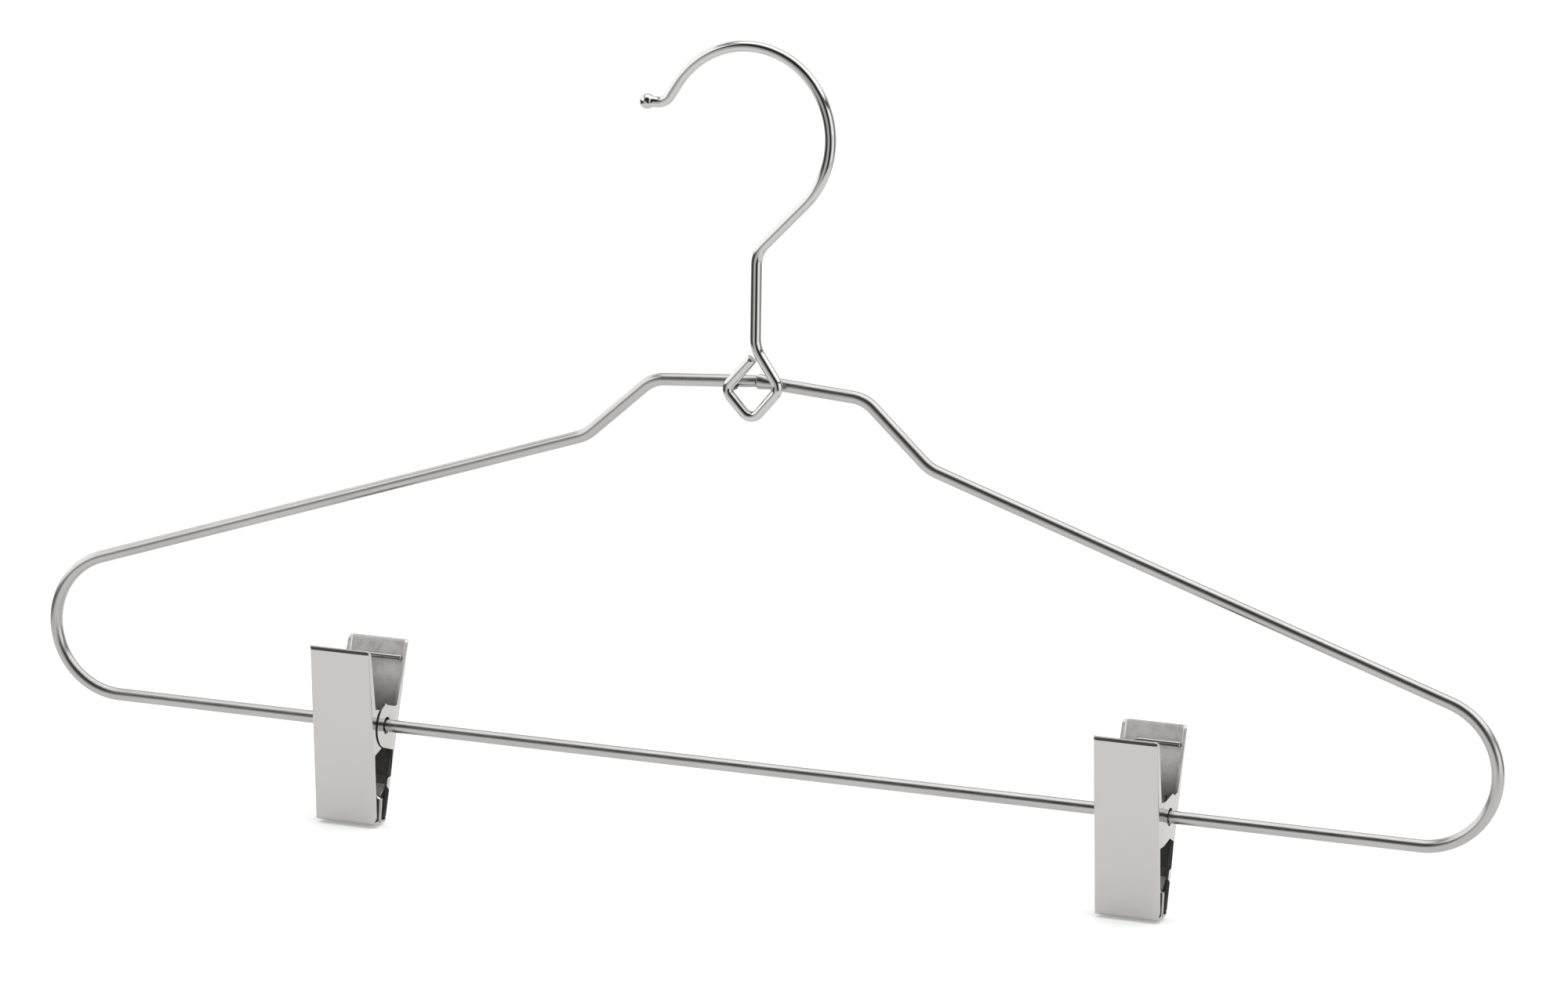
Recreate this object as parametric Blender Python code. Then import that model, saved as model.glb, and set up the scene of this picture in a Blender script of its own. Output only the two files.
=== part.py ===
"""Clip hanger: a welded wire frame, a fixed wire hook and two sprung sheet-metal clips on the bar.

Lengths are in metres and +Z is up. X runs along the bar and -Y is the front.
The origin is the hook's seat: the point under the top of the bow where a rail carries the hanger.
"""

import math

import bmesh
import bpy
import numpy as np

# Clearances between neighbouring pieces
TOUCH_GAP = 0.0003
BORE_PLAY = 0.00070
COIL_PLAY = 0.00035

# Frame: one bent wire, butt welded at the middle of its top
HANGER_WIDTH = 0.4200
FRAME_WIRE = 0.0035
END_BEND_RADIUS = 0.0200
SHOULDER_SLOPE = math.radians(18.4)
NECK_HALF_WIDTH = 0.0493
CREST_HALF_WIDTH = 0.0304
CREST_HEIGHT = 0.1045
PEAK_HEIGHT = 0.1066
NECK_BEND_RADIUS = 0.0115
CREST_BEND_RADIUS = 0.0100
PEAK_BEND_RADIUS = 0.0200
WELD_COLLAR = 0.00018
WELD_LENGTH = 0.0014
FRAME_SIDES = 16

# Hook: one bent wire, spot welded by its square eye to the front of the frame's top
HOOK_WIRE = 0.0030
BOW_HALF_WIDTH = 0.0237
BOW_HALF_HEIGHT = 0.0243
STEM_SET = 0.0039
BOW_FIRST_TURN = math.radians(-44.0)
NECK_RADIUS = 0.0080
HOOK_RISE = 0.0906
EYE_BELOW_PEAK = 0.0016
EYE_OFF_CENTRE = 0.0004
EYE_HALF_WIDTH = 0.0079
EYE_DROP = 0.0089
EYE_RISE = 0.0112
EYE_CORNER_STEP = 0.0007
EYE_END_RISE = 0.0083
EYE_END_LEAN = 0.0009
EYE_CORNER_RADIUS = 0.0028
STEM_FOOT_RADIUS = 0.0090
STEM_LEAN = 0.0005
BOW_LAST_TURN = math.radians(148.0)
TIP_BELOW_SEAT = 0.0153
TIP_RUN = 0.0052
TIP_BEND_RADIUS = 0.0042
TIP_BALL = 0.0042
HOOK_SIDES = 14

# Clips: where they hang on the bar, from the frame's middle, and how far they are swung in the photo
LEFT_CLIP_SET = -0.1157
RIGHT_CLIP_SET = 0.1108
LEFT_CLIP_SWING = math.radians(-4.2)
RIGHT_CLIP_SWING = math.radians(-2.4)

# Clip jaws: two stamped channels that lean together from the handles down to the grips
SHEET = 0.0007
CLIP_WIDTH = 0.0180
HANDLE_HEIGHT = 0.0224
GRIP_DEPTH = 0.0277
FOLD_RADIUS = 0.0014
HANDLE_SPREAD = 0.0286
HANDLE_FLARE = 0.0007
HANDLE_FLARE_HEIGHT = 0.0030
GRIP_SPREAD = 0.0088
CORNER_FLANGE = 0.0010
CORNER_HEIGHT = 0.0012
HANDLE_FLANGE = 0.0017
EAR_ROOT_FLANGE = 0.0034
FRONT_LOWER_FLANGE = 0.0020
REAR_FOOT_FLANGE = 0.0020
REAR_LOWER_FLANGE = 0.0012

# Jaw ears: round plates on the bar, one jaw's outside the other's
EAR_RADIUS = 0.0062
EAR_ROOT_HEIGHT = 0.0053
EAR_FOOT_HEIGHT = -0.0078
OUTER_EAR_STEP = 0.00035
EAR_RAMP = 0.0033
RECESS_LAST_TURN = math.radians(-72.0)

# Grip: the bottom of each jaw is folded in and up, and its free edge returns to the jaw's inside
GRIP_LIP_TOP = 0.0203
GRIP_RETURN = 0.0176
GRIP_TAIL = 0.0150
GRIP_BEND_RADIUS = 0.0008
LIP_BEND_RADIUS = 0.0018
LIP_INSET = 0.0002
TAIL_INSET = 0.0010
TAIL_GAP = 0.00012
CHEEK_REACH = 0.0033

# Clip spring: one torsion spring round the bar, with a foot behind each handle
SPRING_WIRE = 0.0015
SPRING_TURNS = 5
SPRING_PITCH = 0.0020
FOOT_HEIGHT = 0.0175
FOOT_END = 0.0079
FOOT_BEND_RADIUS = 0.0020
POINTS_PER_TURN = 9

# Places that follow from the sizes above
HOOK_PLANE_TO_BAR = FRAME_WIRE / 2 + HOOK_WIRE / 2 + TOUCH_GAP
EYE_HEIGHT = PEAK_HEIGHT - EYE_BELOW_PEAK
BAR_Z = -(HOOK_RISE + EYE_HEIGHT)
FRAME_X = STEM_SET + EYE_OFF_CENTRE
INNER_EAR_STEP = SHEET + TOUCH_GAP - OUTER_EAR_STEP
EAR_START_DEPTH = (FOLD_RADIUS + EAR_ROOT_FLANGE / 2) / 2
RECESS_RADIUS = EAR_RADIUS + TOUCH_GAP
BORE_RADIUS = FRAME_WIRE / 2 + BORE_PLAY
COIL_RADIUS = FRAME_WIRE / 2 + COIL_PLAY + SPRING_WIRE / 2
JAW_LEAN = math.atan2((HANDLE_SPREAD - GRIP_SPREAD) / 2, HANDLE_HEIGHT + GRIP_DEPTH)

FRONT = -1
REAR = 1


def clear_scene():
    """Remove whatever the file opened with."""
    for item in list(bpy.data.objects):
        bpy.data.objects.remove(item, do_unlink=True)


def metal(name, colour, roughness):
    """A plain plated-steel material."""
    material = bpy.data.materials.new(name)
    material.use_nodes = True
    shader = material.node_tree.nodes["Principled BSDF"]
    shader.inputs["Base Color"].default_value = (*colour, 1.0)
    shader.inputs["Metallic"].default_value = 1.0
    shader.inputs["Roughness"].default_value = roughness
    return material


def add_object(name, data, material):
    """Link a mesh or a curve into the scene under a piece's name."""
    item = bpy.data.objects.new(name, data)
    bpy.context.scene.collection.objects.link(item)
    if not data.materials:
        data.materials.append(material)
    return item


def mesh_from(name, vertices, faces):
    """A mesh whose faces all point outwards."""
    mesh = bpy.data.meshes.new(name)
    mesh.from_pydata([tuple(map(float, v)) for v in vertices], [], faces)
    shell = bmesh.new()
    shell.from_mesh(mesh)
    bmesh.ops.recalc_face_normals(shell, faces=shell.faces)
    shell.to_mesh(mesh)
    shell.free()
    return mesh


def shade(mesh, angle_degrees):
    """Smooth shading that keeps the sheared edges crisp."""
    mesh.shade_smooth()
    mesh.set_sharp_from_angle(angle=math.radians(angle_degrees))


def bend(before, corner, after, radius, turn_step):
    """Points of the round bend that replaces a corner between two straight runs."""
    to_before = (before - corner) / np.linalg.norm(before - corner)
    to_after = (after - corner) / np.linalg.norm(after - corner)
    inside = math.acos(float(np.clip(np.dot(to_before, to_after), -1.0, 1.0)))
    turn = math.pi - inside
    reach = radius * math.tan(turn / 2)
    centre = corner + (to_before + to_after) / np.linalg.norm(to_before + to_after) * radius / math.sin(inside / 2)
    first = corner + to_before * reach - centre
    last = corner + to_after * reach - centre
    steps = max(2, math.ceil(turn / turn_step))
    weights = np.linspace(0.0, 1.0, steps + 1)
    arc = [(math.sin((1 - w) * turn) * first + math.sin(w * turn) * last) / math.sin(turn) for w in weights]
    return [centre + point for point in arc]


def bent_path(corners, radii, turn_step):
    """A path of straight runs whose corners are rounded to the given radii."""
    corners = [np.array(c, float) for c in corners]
    points = []
    for i, corner in enumerate(corners):
        if radii[i] == 0:
            points.append(corner)
        else:
            points += bend(corners[i - 1], corner, corners[(i + 1) % len(corners)], radii[i], turn_step)
    return np.array(points)


def wire_mesh(name, path, radii, sides, closed):
    """A round wire along a path in the XZ plane, with its own radius at each point."""
    count = len(path)
    before = np.roll(path, 1, axis=0)
    after = np.roll(path, -1, axis=0)
    if not closed:
        before[0] = path[0]
        after[-1] = path[-1]
    into = path - before
    out = after - path
    into_length = np.linalg.norm(into, axis=1, keepdims=True)
    out_length = np.linalg.norm(out, axis=1, keepdims=True)
    run = into / np.maximum(into_length, 1e-12) + out / np.maximum(out_length, 1e-12)
    run /= np.linalg.norm(run, axis=1, keepdims=True)
    across = np.stack([run[:, 1], -run[:, 0]], axis=1)
    angles = np.arange(sides) * 2 * math.pi / sides
    vertices = []
    for i in range(count):
        for angle in angles:
            x = path[i, 0] + radii[i] * math.cos(angle) * across[i, 0]
            z = path[i, 1] + radii[i] * math.cos(angle) * across[i, 1]
            vertices.append((x, radii[i] * math.sin(angle), z))
    faces = []
    for i in range(count if closed else count - 1):
        j = (i + 1) % count
        for k in range(sides):
            m = (k + 1) % sides
            faces.append((i * sides + k, i * sides + m, j * sides + m, j * sides + k))
    if not closed:
        faces.append(tuple(range(sides)))
        faces.append(tuple((count - 1) * sides + k for k in range(sides)))
    return mesh_from(name, vertices, faces)


def frame_outline():
    """The frame's centre line as corners and bend radii, from the top's middle, clockwise from the front."""
    bend_centre_x = HANGER_WIDTH / 2 - FRAME_WIRE / 2 - END_BEND_RADIUS
    end_turn = math.pi - SHOULDER_SLOPE
    end_corner_x = bend_centre_x + END_BEND_RADIUS * math.tan(end_turn / 2)
    neck_height = (end_corner_x - NECK_HALF_WIDTH) * math.tan(SHOULDER_SLOPE)
    right = [(CREST_HALF_WIDTH, CREST_HEIGHT), (NECK_HALF_WIDTH, neck_height), (end_corner_x, 0.0)]
    left = [(-x, z) for x, z in reversed(right)]
    radii = [CREST_BEND_RADIUS, NECK_BEND_RADIUS, END_BEND_RADIUS]
    return right + left, radii + radii[::-1]


def make_frame(material):
    """The frame wire, with the slight collar that the butt weld leaves at its peak."""
    corners, bends = frame_outline()
    weld_run = WELD_LENGTH / 2
    slope = (PEAK_HEIGHT - CREST_HEIGHT) / CREST_HALF_WIDTH
    weld = [(-weld_run, 1), (-weld_run / 2, 2), (0.0, 2), (weld_run / 2, 2), (weld_run, 1)]
    top = [(x, PEAK_HEIGHT - abs(x) * slope) for x, _ in weld]
    path = bent_path(top + corners, [0.0] * len(top) + bends, math.radians(7.5))
    radii = np.full(len(path), FRAME_WIRE / 2)
    radii[1:len(top) - 1] += WELD_COLLAR
    path = path + np.array([FRAME_X, BAR_Z])
    mesh = wire_mesh("frame_wire", path, radii, FRAME_SIDES, closed=True)
    shade(mesh, 40)
    frame = add_object("frame_wire", mesh, material)
    frame.location.y = HOOK_PLANE_TO_BAR
    return frame


def hook_path():
    """The hook's centre line from the eye's cut end to the middle of the tip's ball."""
    bow_z = -(BOW_HALF_HEIGHT - HOOK_WIRE / 2)
    eye_x = STEM_SET
    eye_z = BAR_Z + EYE_HEIGHT
    left = np.array([eye_x - EYE_HALF_WIDTH, eye_z - EYE_CORNER_STEP])
    right = np.array([eye_x + EYE_HALF_WIDTH, eye_z + EYE_CORNER_STEP])
    bottom = np.array([eye_x, eye_z - EYE_DROP])
    foot = np.array([STEM_SET + STEM_LEAN, eye_z + EYE_RISE])
    side_run = np.array([EYE_HALF_WIDTH, EYE_RISE - EYE_CORNER_STEP])
    cut_end = left + side_run * (EYE_END_RISE + EYE_CORNER_STEP) / side_run[1] + np.array([EYE_END_LEAN, 0.0])
    turns = np.linspace(BOW_FIRST_TURN, BOW_LAST_TURN, 32)
    bow = np.stack([BOW_HALF_WIDTH * np.cos(turns), bow_z + BOW_HALF_HEIGHT * np.sin(turns)], axis=1)
    neck_slope = -BOW_HALF_HEIGHT * math.cos(BOW_FIRST_TURN) / (BOW_HALF_WIDTH * math.sin(BOW_FIRST_TURN))
    neck = np.array([STEM_SET, bow[0, 1] - (bow[0, 0] - STEM_SET) * neck_slope])
    eye_radii = [EYE_CORNER_RADIUS] * 3
    lower = bent_path([cut_end, left, bottom, right, foot, neck, bow[0]],
                      [0.0] + eye_radii + [STEM_FOOT_RADIUS, NECK_RADIUS, 0.0], math.radians(12.0))
    leaving = np.array([-BOW_HALF_WIDTH * math.sin(BOW_LAST_TURN), BOW_HALF_HEIGHT * math.cos(BOW_LAST_TURN)])
    drop = bow[-1, 1] + TIP_BELOW_SEAT
    tip_corner = bow[-1] - leaving * drop / leaving[1]
    ball = tip_corner + np.array([-TIP_RUN, 0.0])
    tip = bent_path([bow[-1], tip_corner, ball], [0.0, TIP_BEND_RADIUS, 0.0], math.radians(12.0))
    return np.vstack([lower[:-1], bow, tip[1:]])


def make_hook(material):
    """The hook, whose tip is headed to a small ball."""
    path = hook_path()
    ball = path[-1]
    start = math.asin((HOOK_WIRE / 2) / (TIP_BALL / 2))
    turns = np.linspace(start, math.pi - math.radians(14.0), 8)
    ball_x = ball[0] + np.cos(turns) * TIP_BALL / 2
    rings = np.stack([ball_x, np.full(len(turns), ball[1])], axis=1)
    path = np.vstack([path[:-1], rings])
    radii = np.full(len(path), HOOK_WIRE / 2)
    radii[-len(turns):] = np.sin(turns) * TIP_BALL / 2
    mesh = wire_mesh("hook", path, radii, HOOK_SIDES, closed=False)
    shade(mesh, 50)
    return add_object("hook", mesh, material)


def face_reach(height):
    """How far a jaw's outer face stands from the clip's middle at a height over the bar."""
    return HANDLE_SPREAD / 2 - (HANDLE_HEIGHT - height) * math.tan(JAW_LEAN)


def circle_points(centre, radius, first, last, steps):
    """Points on a circle in the side view, as pairs of reach and height."""
    turns = np.linspace(first, last, steps + 1)
    return [(centre[0] + radius * math.cos(t), centre[1] + radius * math.sin(t)) for t in turns]


def prism(name, outline, x_low, x_high, side):
    """A side-view outline of reach and height, carried along X from one plane to another."""
    count = len(outline)
    vertices = [(x, side * reach, height) for x in (x_low, x_high) for reach, height in outline]
    faces = [tuple(range(count)), tuple(range(count, 2 * count))]
    for i in range(count):
        j = (i + 1) % count
        faces.append((i, j, count + j, count + i))
    return bpy.data.objects.new(name, mesh_from(name, vertices, faces))


def combine(body, tool, operation):
    """Apply one Boolean step to a body and discard the tool."""
    scene = bpy.context.scene.collection.objects
    scene.link(tool)
    step = body.modifiers.new("step", "BOOLEAN")
    step.operation = operation
    step.solver = "EXACT"
    step.object = tool
    evaluated = body.evaluated_get(bpy.context.evaluated_depsgraph_get())
    result = bpy.data.meshes.new_from_object(evaluated)
    body.modifiers.clear()
    body.data = result
    bpy.data.objects.remove(tool, do_unlink=True)


def jaw_section(depth, wall, flatten, half_flat):
    """One cut through a jaw's sheet as pairs of X and depth, from the outer left edge round to the inner left.

    It is a U with rounded folds and flanges of a given depth, and it is flattened to a strip where asked.
    """
    half = CLIP_WIDTH / 2
    if depth > FOLD_RADIUS:
        turns = np.linspace(0.0, math.pi / 2, 6)
        outer = [(half, depth)]
        inner = [(half - SHEET, depth)]
    else:
        turns = np.linspace(math.asin(1 - depth / FOLD_RADIUS), math.pi / 2, 7)
        outer = []
        inner = []
    inside = FOLD_RADIUS - SHEET
    for turn in turns:
        across = math.cos(turn)
        down = math.sin(turn)
        outer.append((half - FOLD_RADIUS * (1 - across), FOLD_RADIUS * (1 - down)))
        inner.append((half - FOLD_RADIUS + inside * across, FOLD_RADIUS + wall - SHEET - inside * down))
    strip = [half_flat - 0.0002 * i for i in range(7)]
    outer = [((1 - flatten) * x + flatten * flat, (1 - flatten) * d) for (x, d), flat in zip(outer, strip)]
    inner = [((1 - flatten) * x + flatten * flat, (1 - flatten) * d + flatten * wall)
             for (x, d), flat in zip(inner, strip)]
    outer += [(-x, d) for x, d in reversed(outer)]
    inner += [(-x, d) for x, d in reversed(inner)]
    return outer + inner[::-1]


def fold_line():
    """The middle of the sheet from the bottom of the face: round the fold, up the grip and back to the face."""
    middle = SHEET / 2 / math.cos(JAW_LEAN)
    grip_line = TOUCH_GAP / 2 + SHEET / 2
    floor = -GRIP_DEPTH + SHEET / 2
    start = floor + 2 * GRIP_BEND_RADIUS
    tail = (1.5 * SHEET + TAIL_GAP) / math.cos(JAW_LEAN)
    corners = [(face_reach(start) - middle, start), (face_reach(floor) - middle, floor), (grip_line, floor),
               (grip_line, -GRIP_LIP_TOP), (face_reach(-GRIP_RETURN) - tail, -GRIP_RETURN),
               (face_reach(-GRIP_TAIL) - tail, -GRIP_TAIL)]
    radii = [0.0, GRIP_BEND_RADIUS, GRIP_BEND_RADIUS, LIP_BEND_RADIUS, GRIP_BEND_RADIUS, 0.0]
    return bent_path(corners, radii, math.radians(24.0))[1:]


def jaw_sheet(name, side, flange):
    """A jaw's face, its flanges and its folded grip as one bent sheet, with the flange depth at each height."""
    wall = SHEET / math.cos(JAW_LEAN)
    vertices = []
    for height, depth in flange:
        above = max(0.0, (height - HANDLE_HEIGHT + HANDLE_FLARE_HEIGHT) / HANDLE_FLARE_HEIGHT)
        reach = face_reach(height) + HANDLE_FLARE * above ** 2
        for x, d in jaw_section(depth, wall, 0.0, 0.0):
            vertices.append((x, side * (reach - d), height))
    line = fold_line()
    run = np.gradient(line, axis=0)
    run /= np.linalg.norm(run, axis=1, keepdims=True)
    inward = np.stack([run[:, 1], -run[:, 0]], axis=1)
    half = CLIP_WIDTH / 2
    bottom = int(np.argmin(line[:, 1]))
    for i, (middle, towards) in enumerate(zip(line, inward)):
        flatten = min(1.0, 0.25 + i / (bottom + 1))
        narrow = TAIL_INSET if middle[1] > -GRIP_LIP_TOP and i > bottom else LIP_INSET
        for x, d in jaw_section(FRONT_LOWER_FLANGE, SHEET, flatten, half - narrow):
            reach, height = middle + towards * (d - SHEET / 2)
            vertices.append((x, side * reach, height))
    count = len(jaw_section(FRONT_LOWER_FLANGE, SHEET, 0.0, half))
    levels = len(vertices) // count
    faces = [tuple(range(count)), tuple((levels - 1) * count + k for k in range(count))]
    for i in range(levels - 1):
        for k in range(count):
            m = (k + 1) % count
            faces.append((i * count + k, i * count + m, (i + 1) * count + m, (i + 1) * count + k))
    item = bpy.data.objects.new(name, mesh_from(name, vertices, faces))
    bpy.context.scene.collection.objects.link(item)
    return item


def fill_heights(edge, step):
    """A flange edge of height and depth pairs, given more levels where they lie far apart."""
    levels = []
    for (top, top_depth), (low, low_depth) in zip(edge[:-1], edge[1:]):
        pieces = max(1, math.ceil((top - low) / step))
        for k in range(pieces):
            levels.append((top + (low - top) * k / pieces, top_depth + (low_depth - top_depth) * k / pieces))
    return levels + [edge[-1]]


def handle_edge():
    """The flange from the handle's rounded corner down to the ear, as height and depth pairs."""
    return [(HANDLE_HEIGHT, CORNER_FLANGE), (HANDLE_HEIGHT - CORNER_HEIGHT * 0.3, CORNER_FLANGE * 1.25),
            (HANDLE_HEIGHT - CORNER_HEIGHT, HANDLE_FLANGE), (EAR_ROOT_HEIGHT, EAR_ROOT_FLANGE)]


def recess_edge(offset, last_turn=RECESS_LAST_TURN):
    """The edge of an inner jaw's flange round the outer ear, moved away from the bar by an offset."""
    radius = RECESS_RADIUS + offset
    first = math.asin((EAR_ROOT_HEIGHT - 0.0004) / radius)
    return circle_points((0.0, 0.0), radius, first, last_turn, 12)


def lower_edge(side):
    """The flange below the ear, with the rear jaw's cheek beside the free edge of its grip."""
    floor = -GRIP_DEPTH + SHEET / 2 + 2 * GRIP_BEND_RADIUS
    if side == FRONT:
        edge = [(EAR_FOOT_HEIGHT, FRONT_LOWER_FLANGE), (floor, FRONT_LOWER_FLANGE)]
    else:
        edge = [(EAR_FOOT_HEIGHT, REAR_FOOT_FLANGE), (-GRIP_TAIL, REAR_LOWER_FLANGE),
                (-GRIP_TAIL - 0.0003, CHEEK_REACH), (-GRIP_RETURN, CHEEK_REACH),
                (-GRIP_RETURN - 0.0012, REAR_LOWER_FLANGE), (floor, REAR_LOWER_FLANGE)]
    return fill_heights(edge, 0.006)


def flange_edge(side, ears_outside):
    """A jaw's flange depth at each height; an inner jaw's flange is cut round the outer ear."""
    if ears_outside:
        return handle_edge() + lower_edge(side)
    recess = [(height, face_reach(height) - reach) for reach, height in recess_edge(0.0)]
    return handle_edge() + recess + lower_edge(side)


def bore(side):
    """The tool that cuts the hole for the bar through both ears."""
    return prism("bore", circle_points((0.0, 0.0), BORE_RADIUS, 0.0, 2 * math.pi, 28)[:-1],
                 -CLIP_WIDTH, CLIP_WIDTH, side)


def outer_ear(name, side, hand):
    """A round ear that ramps out from its flange by half a sheet, built up from the far side to the root."""
    half = CLIP_WIDTH / 2
    root = face_reach(EAR_ROOT_HEIGHT) - EAR_ROOT_FLANGE
    foot = face_reach(EAR_FOOT_HEIGHT) - REAR_FOOT_FLANGE
    round_turns = np.radians([176, 168, 160, 152, 144, 136, 128, 120, 112, 104])
    stations = [EAR_RADIUS * math.cos(t) for t in round_turns]
    stations += list(np.linspace(stations[-1], root + EAR_ROOT_FLANGE / 2, 15)[1:])
    top = ([stations[9], root - 0.0022, root, root + EAR_ROOT_FLANGE],
           [EAR_RADIUS * math.sin(round_turns[-1]), EAR_ROOT_HEIGHT - 0.0005, EAR_ROOT_HEIGHT - 0.0002,
            EAR_ROOT_HEIGHT - 0.0006])
    low = ([stations[9], foot - 0.0004, foot + REAR_FOOT_FLANGE],
           [-EAR_RADIUS * math.sin(round_turns[-1]), EAR_FOOT_HEIGHT + 0.0002, EAR_FOOT_HEIGHT + 0.0006])
    vertices = []
    for i, reach in enumerate(stations):
        high_z = EAR_RADIUS * math.sin(round_turns[i]) if i < 10 else float(np.interp(reach, *top))
        low_z = -high_z if i < 10 else float(np.interp(reach, *low))
        lean_z = HANDLE_HEIGHT + (reach + EAR_START_DEPTH - HANDLE_SPREAD / 2) / math.tan(JAW_LEAN)
        low_z = max(low_z, lean_z)
        for height, outside in ((low_z, 0), (low_z, 1), (high_z, 1), (high_z, 0)):
            depth = face_reach(height) - reach
            rise = min(1.0, max(0.0, (depth - EAR_START_DEPTH) / EAR_RAMP))
            shift = (OUTER_EAR_STEP + TOUCH_GAP / 10) * rise * rise * (3 - 2 * rise) - TOUCH_GAP / 10
            x = half - SHEET * (1 - outside) + shift
            vertices.append((hand * x, side * reach, height))
    faces = [(0, 1, 2, 3), tuple(len(vertices) - 4 + k for k in range(4))]
    for i in range(len(stations) - 1):
        for k in range(4):
            m = (k + 1) % 4
            faces.append((4 * i + k, 4 * i + m, 4 * i + 4 + m, 4 * i + 4 + k))
    return bpy.data.objects.new(name, mesh_from(name, vertices, faces))


def add_outer_ears(body, side):
    """Round ears stepped out by half a sheet."""
    for hand in (-1, 1):
        combine(body, outer_ear("ear", side, hand), "UNION")


def add_inner_ears(body, side):
    """Round ears stepped in, so that they turn inside the other jaw's."""
    half = CLIP_WIDTH / 2
    sliver = SHEET / 14
    disc = circle_points((0.0, 0.0), EAR_RADIUS - TOUCH_GAP, math.radians(96), math.radians(262), 18)
    ear = disc + recess_edge(SHEET / 2, RECESS_LAST_TURN + math.radians(4.0))[::-1]
    wall = recess_edge(sliver) + recess_edge(SHEET + sliver, RECESS_LAST_TURN + math.radians(7.0))[::-1]
    ear_low = half - INNER_EAR_STEP - SHEET
    for hand in (-1, 1):
        ear_span = sorted((hand * ear_low, hand * (ear_low + SHEET)))
        wall_span = sorted((hand * (ear_low + sliver), hand * (half - sliver)))
        combine(body, prism("ear", ear, ear_span[0], ear_span[1], side), "UNION")
        combine(body, prism("step", wall, wall_span[0], wall_span[1], side), "UNION")


def make_jaw(name, side, ears_outside, material):
    """One jaw: its bent sheet, its ears and the holes for the bar."""
    body = jaw_sheet(name, side, flange_edge(side, ears_outside))
    if ears_outside:
        add_outer_ears(body, side)
    else:
        add_inner_ears(body, side)
    combine(body, bore(side), "DIFFERENCE")
    shade(body.data, 35)
    body.data.materials.append(material)
    return body


def spring_points():
    """The spring's centre line: front foot, front leg, coil, rear leg and rear foot."""
    wall = SHEET / math.cos(JAW_LEAN)
    foot_reach = face_reach(FOOT_HEIGHT) - wall - (SPRING_WIRE / 2) / math.cos(JAW_LEAN) - TOUCH_GAP
    foot = np.array([foot_reach, FOOT_HEIGHT])
    away = np.linalg.norm(foot)
    leave = math.atan2(foot[1], foot[0]) - math.acos(COIL_RADIUS / away)
    wound = 2 * math.pi * SPRING_TURNS + math.pi + 2 * leave
    half_length = SPRING_PITCH * wound / (2 * math.pi) / 2
    count = math.ceil(POINTS_PER_TURN * wound / (2 * math.pi))
    turns = np.linspace(0.0, 1.0, count + 1)
    angle = math.pi - leave + turns * wound
    coil = np.stack([half_length - 2 * half_length * turns, COIL_RADIUS * np.cos(angle),
                     COIL_RADIUS * np.sin(angle)], axis=1)
    front_end = np.array([-FOOT_END, -foot[0], foot[1]])
    front_heel = np.array([half_length, -foot[0], foot[1]])
    rear_heel = front_heel * np.array([-1.0, -1.0, 1.0])
    rear_end = front_end * np.array([-1.0, -1.0, 1.0])
    front = bent_path([front_end, front_heel, coil[0]], [0.0, FOOT_BEND_RADIUS, 0.0], math.radians(22.5))
    rear = bent_path([coil[-1], rear_heel, rear_end], [0.0, FOOT_BEND_RADIUS, 0.0], math.radians(22.5))
    return np.vstack([front[:-1], coil, rear[1:]])


def least_self_gap(points, wire, apart):
    """Least clear space between stretches of a wire that lie further than a length apart along it."""
    steps = np.linalg.norm(np.diff(points, axis=0), axis=1)
    fine = []
    along = []
    travelled = 0.0
    for start, end, length in zip(points[:-1], points[1:], steps):
        for w in np.linspace(0.0, 1.0, 6)[:-1]:
            fine.append(start + (end - start) * w)
            along.append(travelled + length * w)
        travelled += length
    fine = np.array(fine)
    along = np.array(along)
    between = np.linalg.norm(fine[:, None] - fine[None, :], axis=2)
    between[np.abs(along[:, None] - along[None, :]) < apart] = np.inf
    return float(between.min()) - wire


def spring_curve():
    """The spring as one unbroken round wire."""
    points = spring_points()
    curve = bpy.data.curves.new("spring", "CURVE")
    curve.dimensions = "3D"
    curve.bevel_depth = SPRING_WIRE / 2
    curve.bevel_resolution = 1
    curve.use_fill_caps = True
    curve.render_resolution_u = 0
    spline = curve.splines.new("POLY")
    spline.points.add(len(points) - 1)
    for target, point in zip(spline.points, points):
        target.co = (*map(float, point), 1.0)
    gap = least_self_gap(points, SPRING_WIRE, 2 * SPRING_WIRE)
    print(f"spring: {len(points)} points, least gap to itself {gap * 1000:.2f} mm")
    return curve


def make_clip(hand, offset, swing, outer_side, material, spring_material):
    """One clip on an empty at the bar: a front jaw, a rear jaw and a spring."""
    pivot = bpy.data.objects.new(f"clip_pivot_{hand}", None)
    bpy.context.scene.collection.objects.link(pivot)
    pivot.location = (FRAME_X + offset, HOOK_PLANE_TO_BAR, BAR_Z)
    pivot.rotation_euler.x = swing
    for name, side in (("front_jaw", FRONT), ("rear_jaw", REAR)):
        make_jaw(f"{name}_{hand}", side, side == outer_side, material).parent = pivot
    add_object(f"spring_{hand}", spring_curve(), spring_material).parent = pivot


def main():
    clear_scene()
    satin = metal("satin_nickel", (0.70, 0.70, 0.69), 0.28)
    chrome = metal("bright_chrome", (0.78, 0.78, 0.78), 0.08)
    steel = metal("spring_steel", (0.62, 0.62, 0.62), 0.22)
    make_frame(satin)
    make_hook(chrome)
    make_clip("left", LEFT_CLIP_SET, LEFT_CLIP_SWING, REAR, chrome, steel)
    make_clip("right", RIGHT_CLIP_SET, RIGHT_CLIP_SWING, FRONT, chrome, steel)
    bpy.context.view_layer.update()


main()
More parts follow.
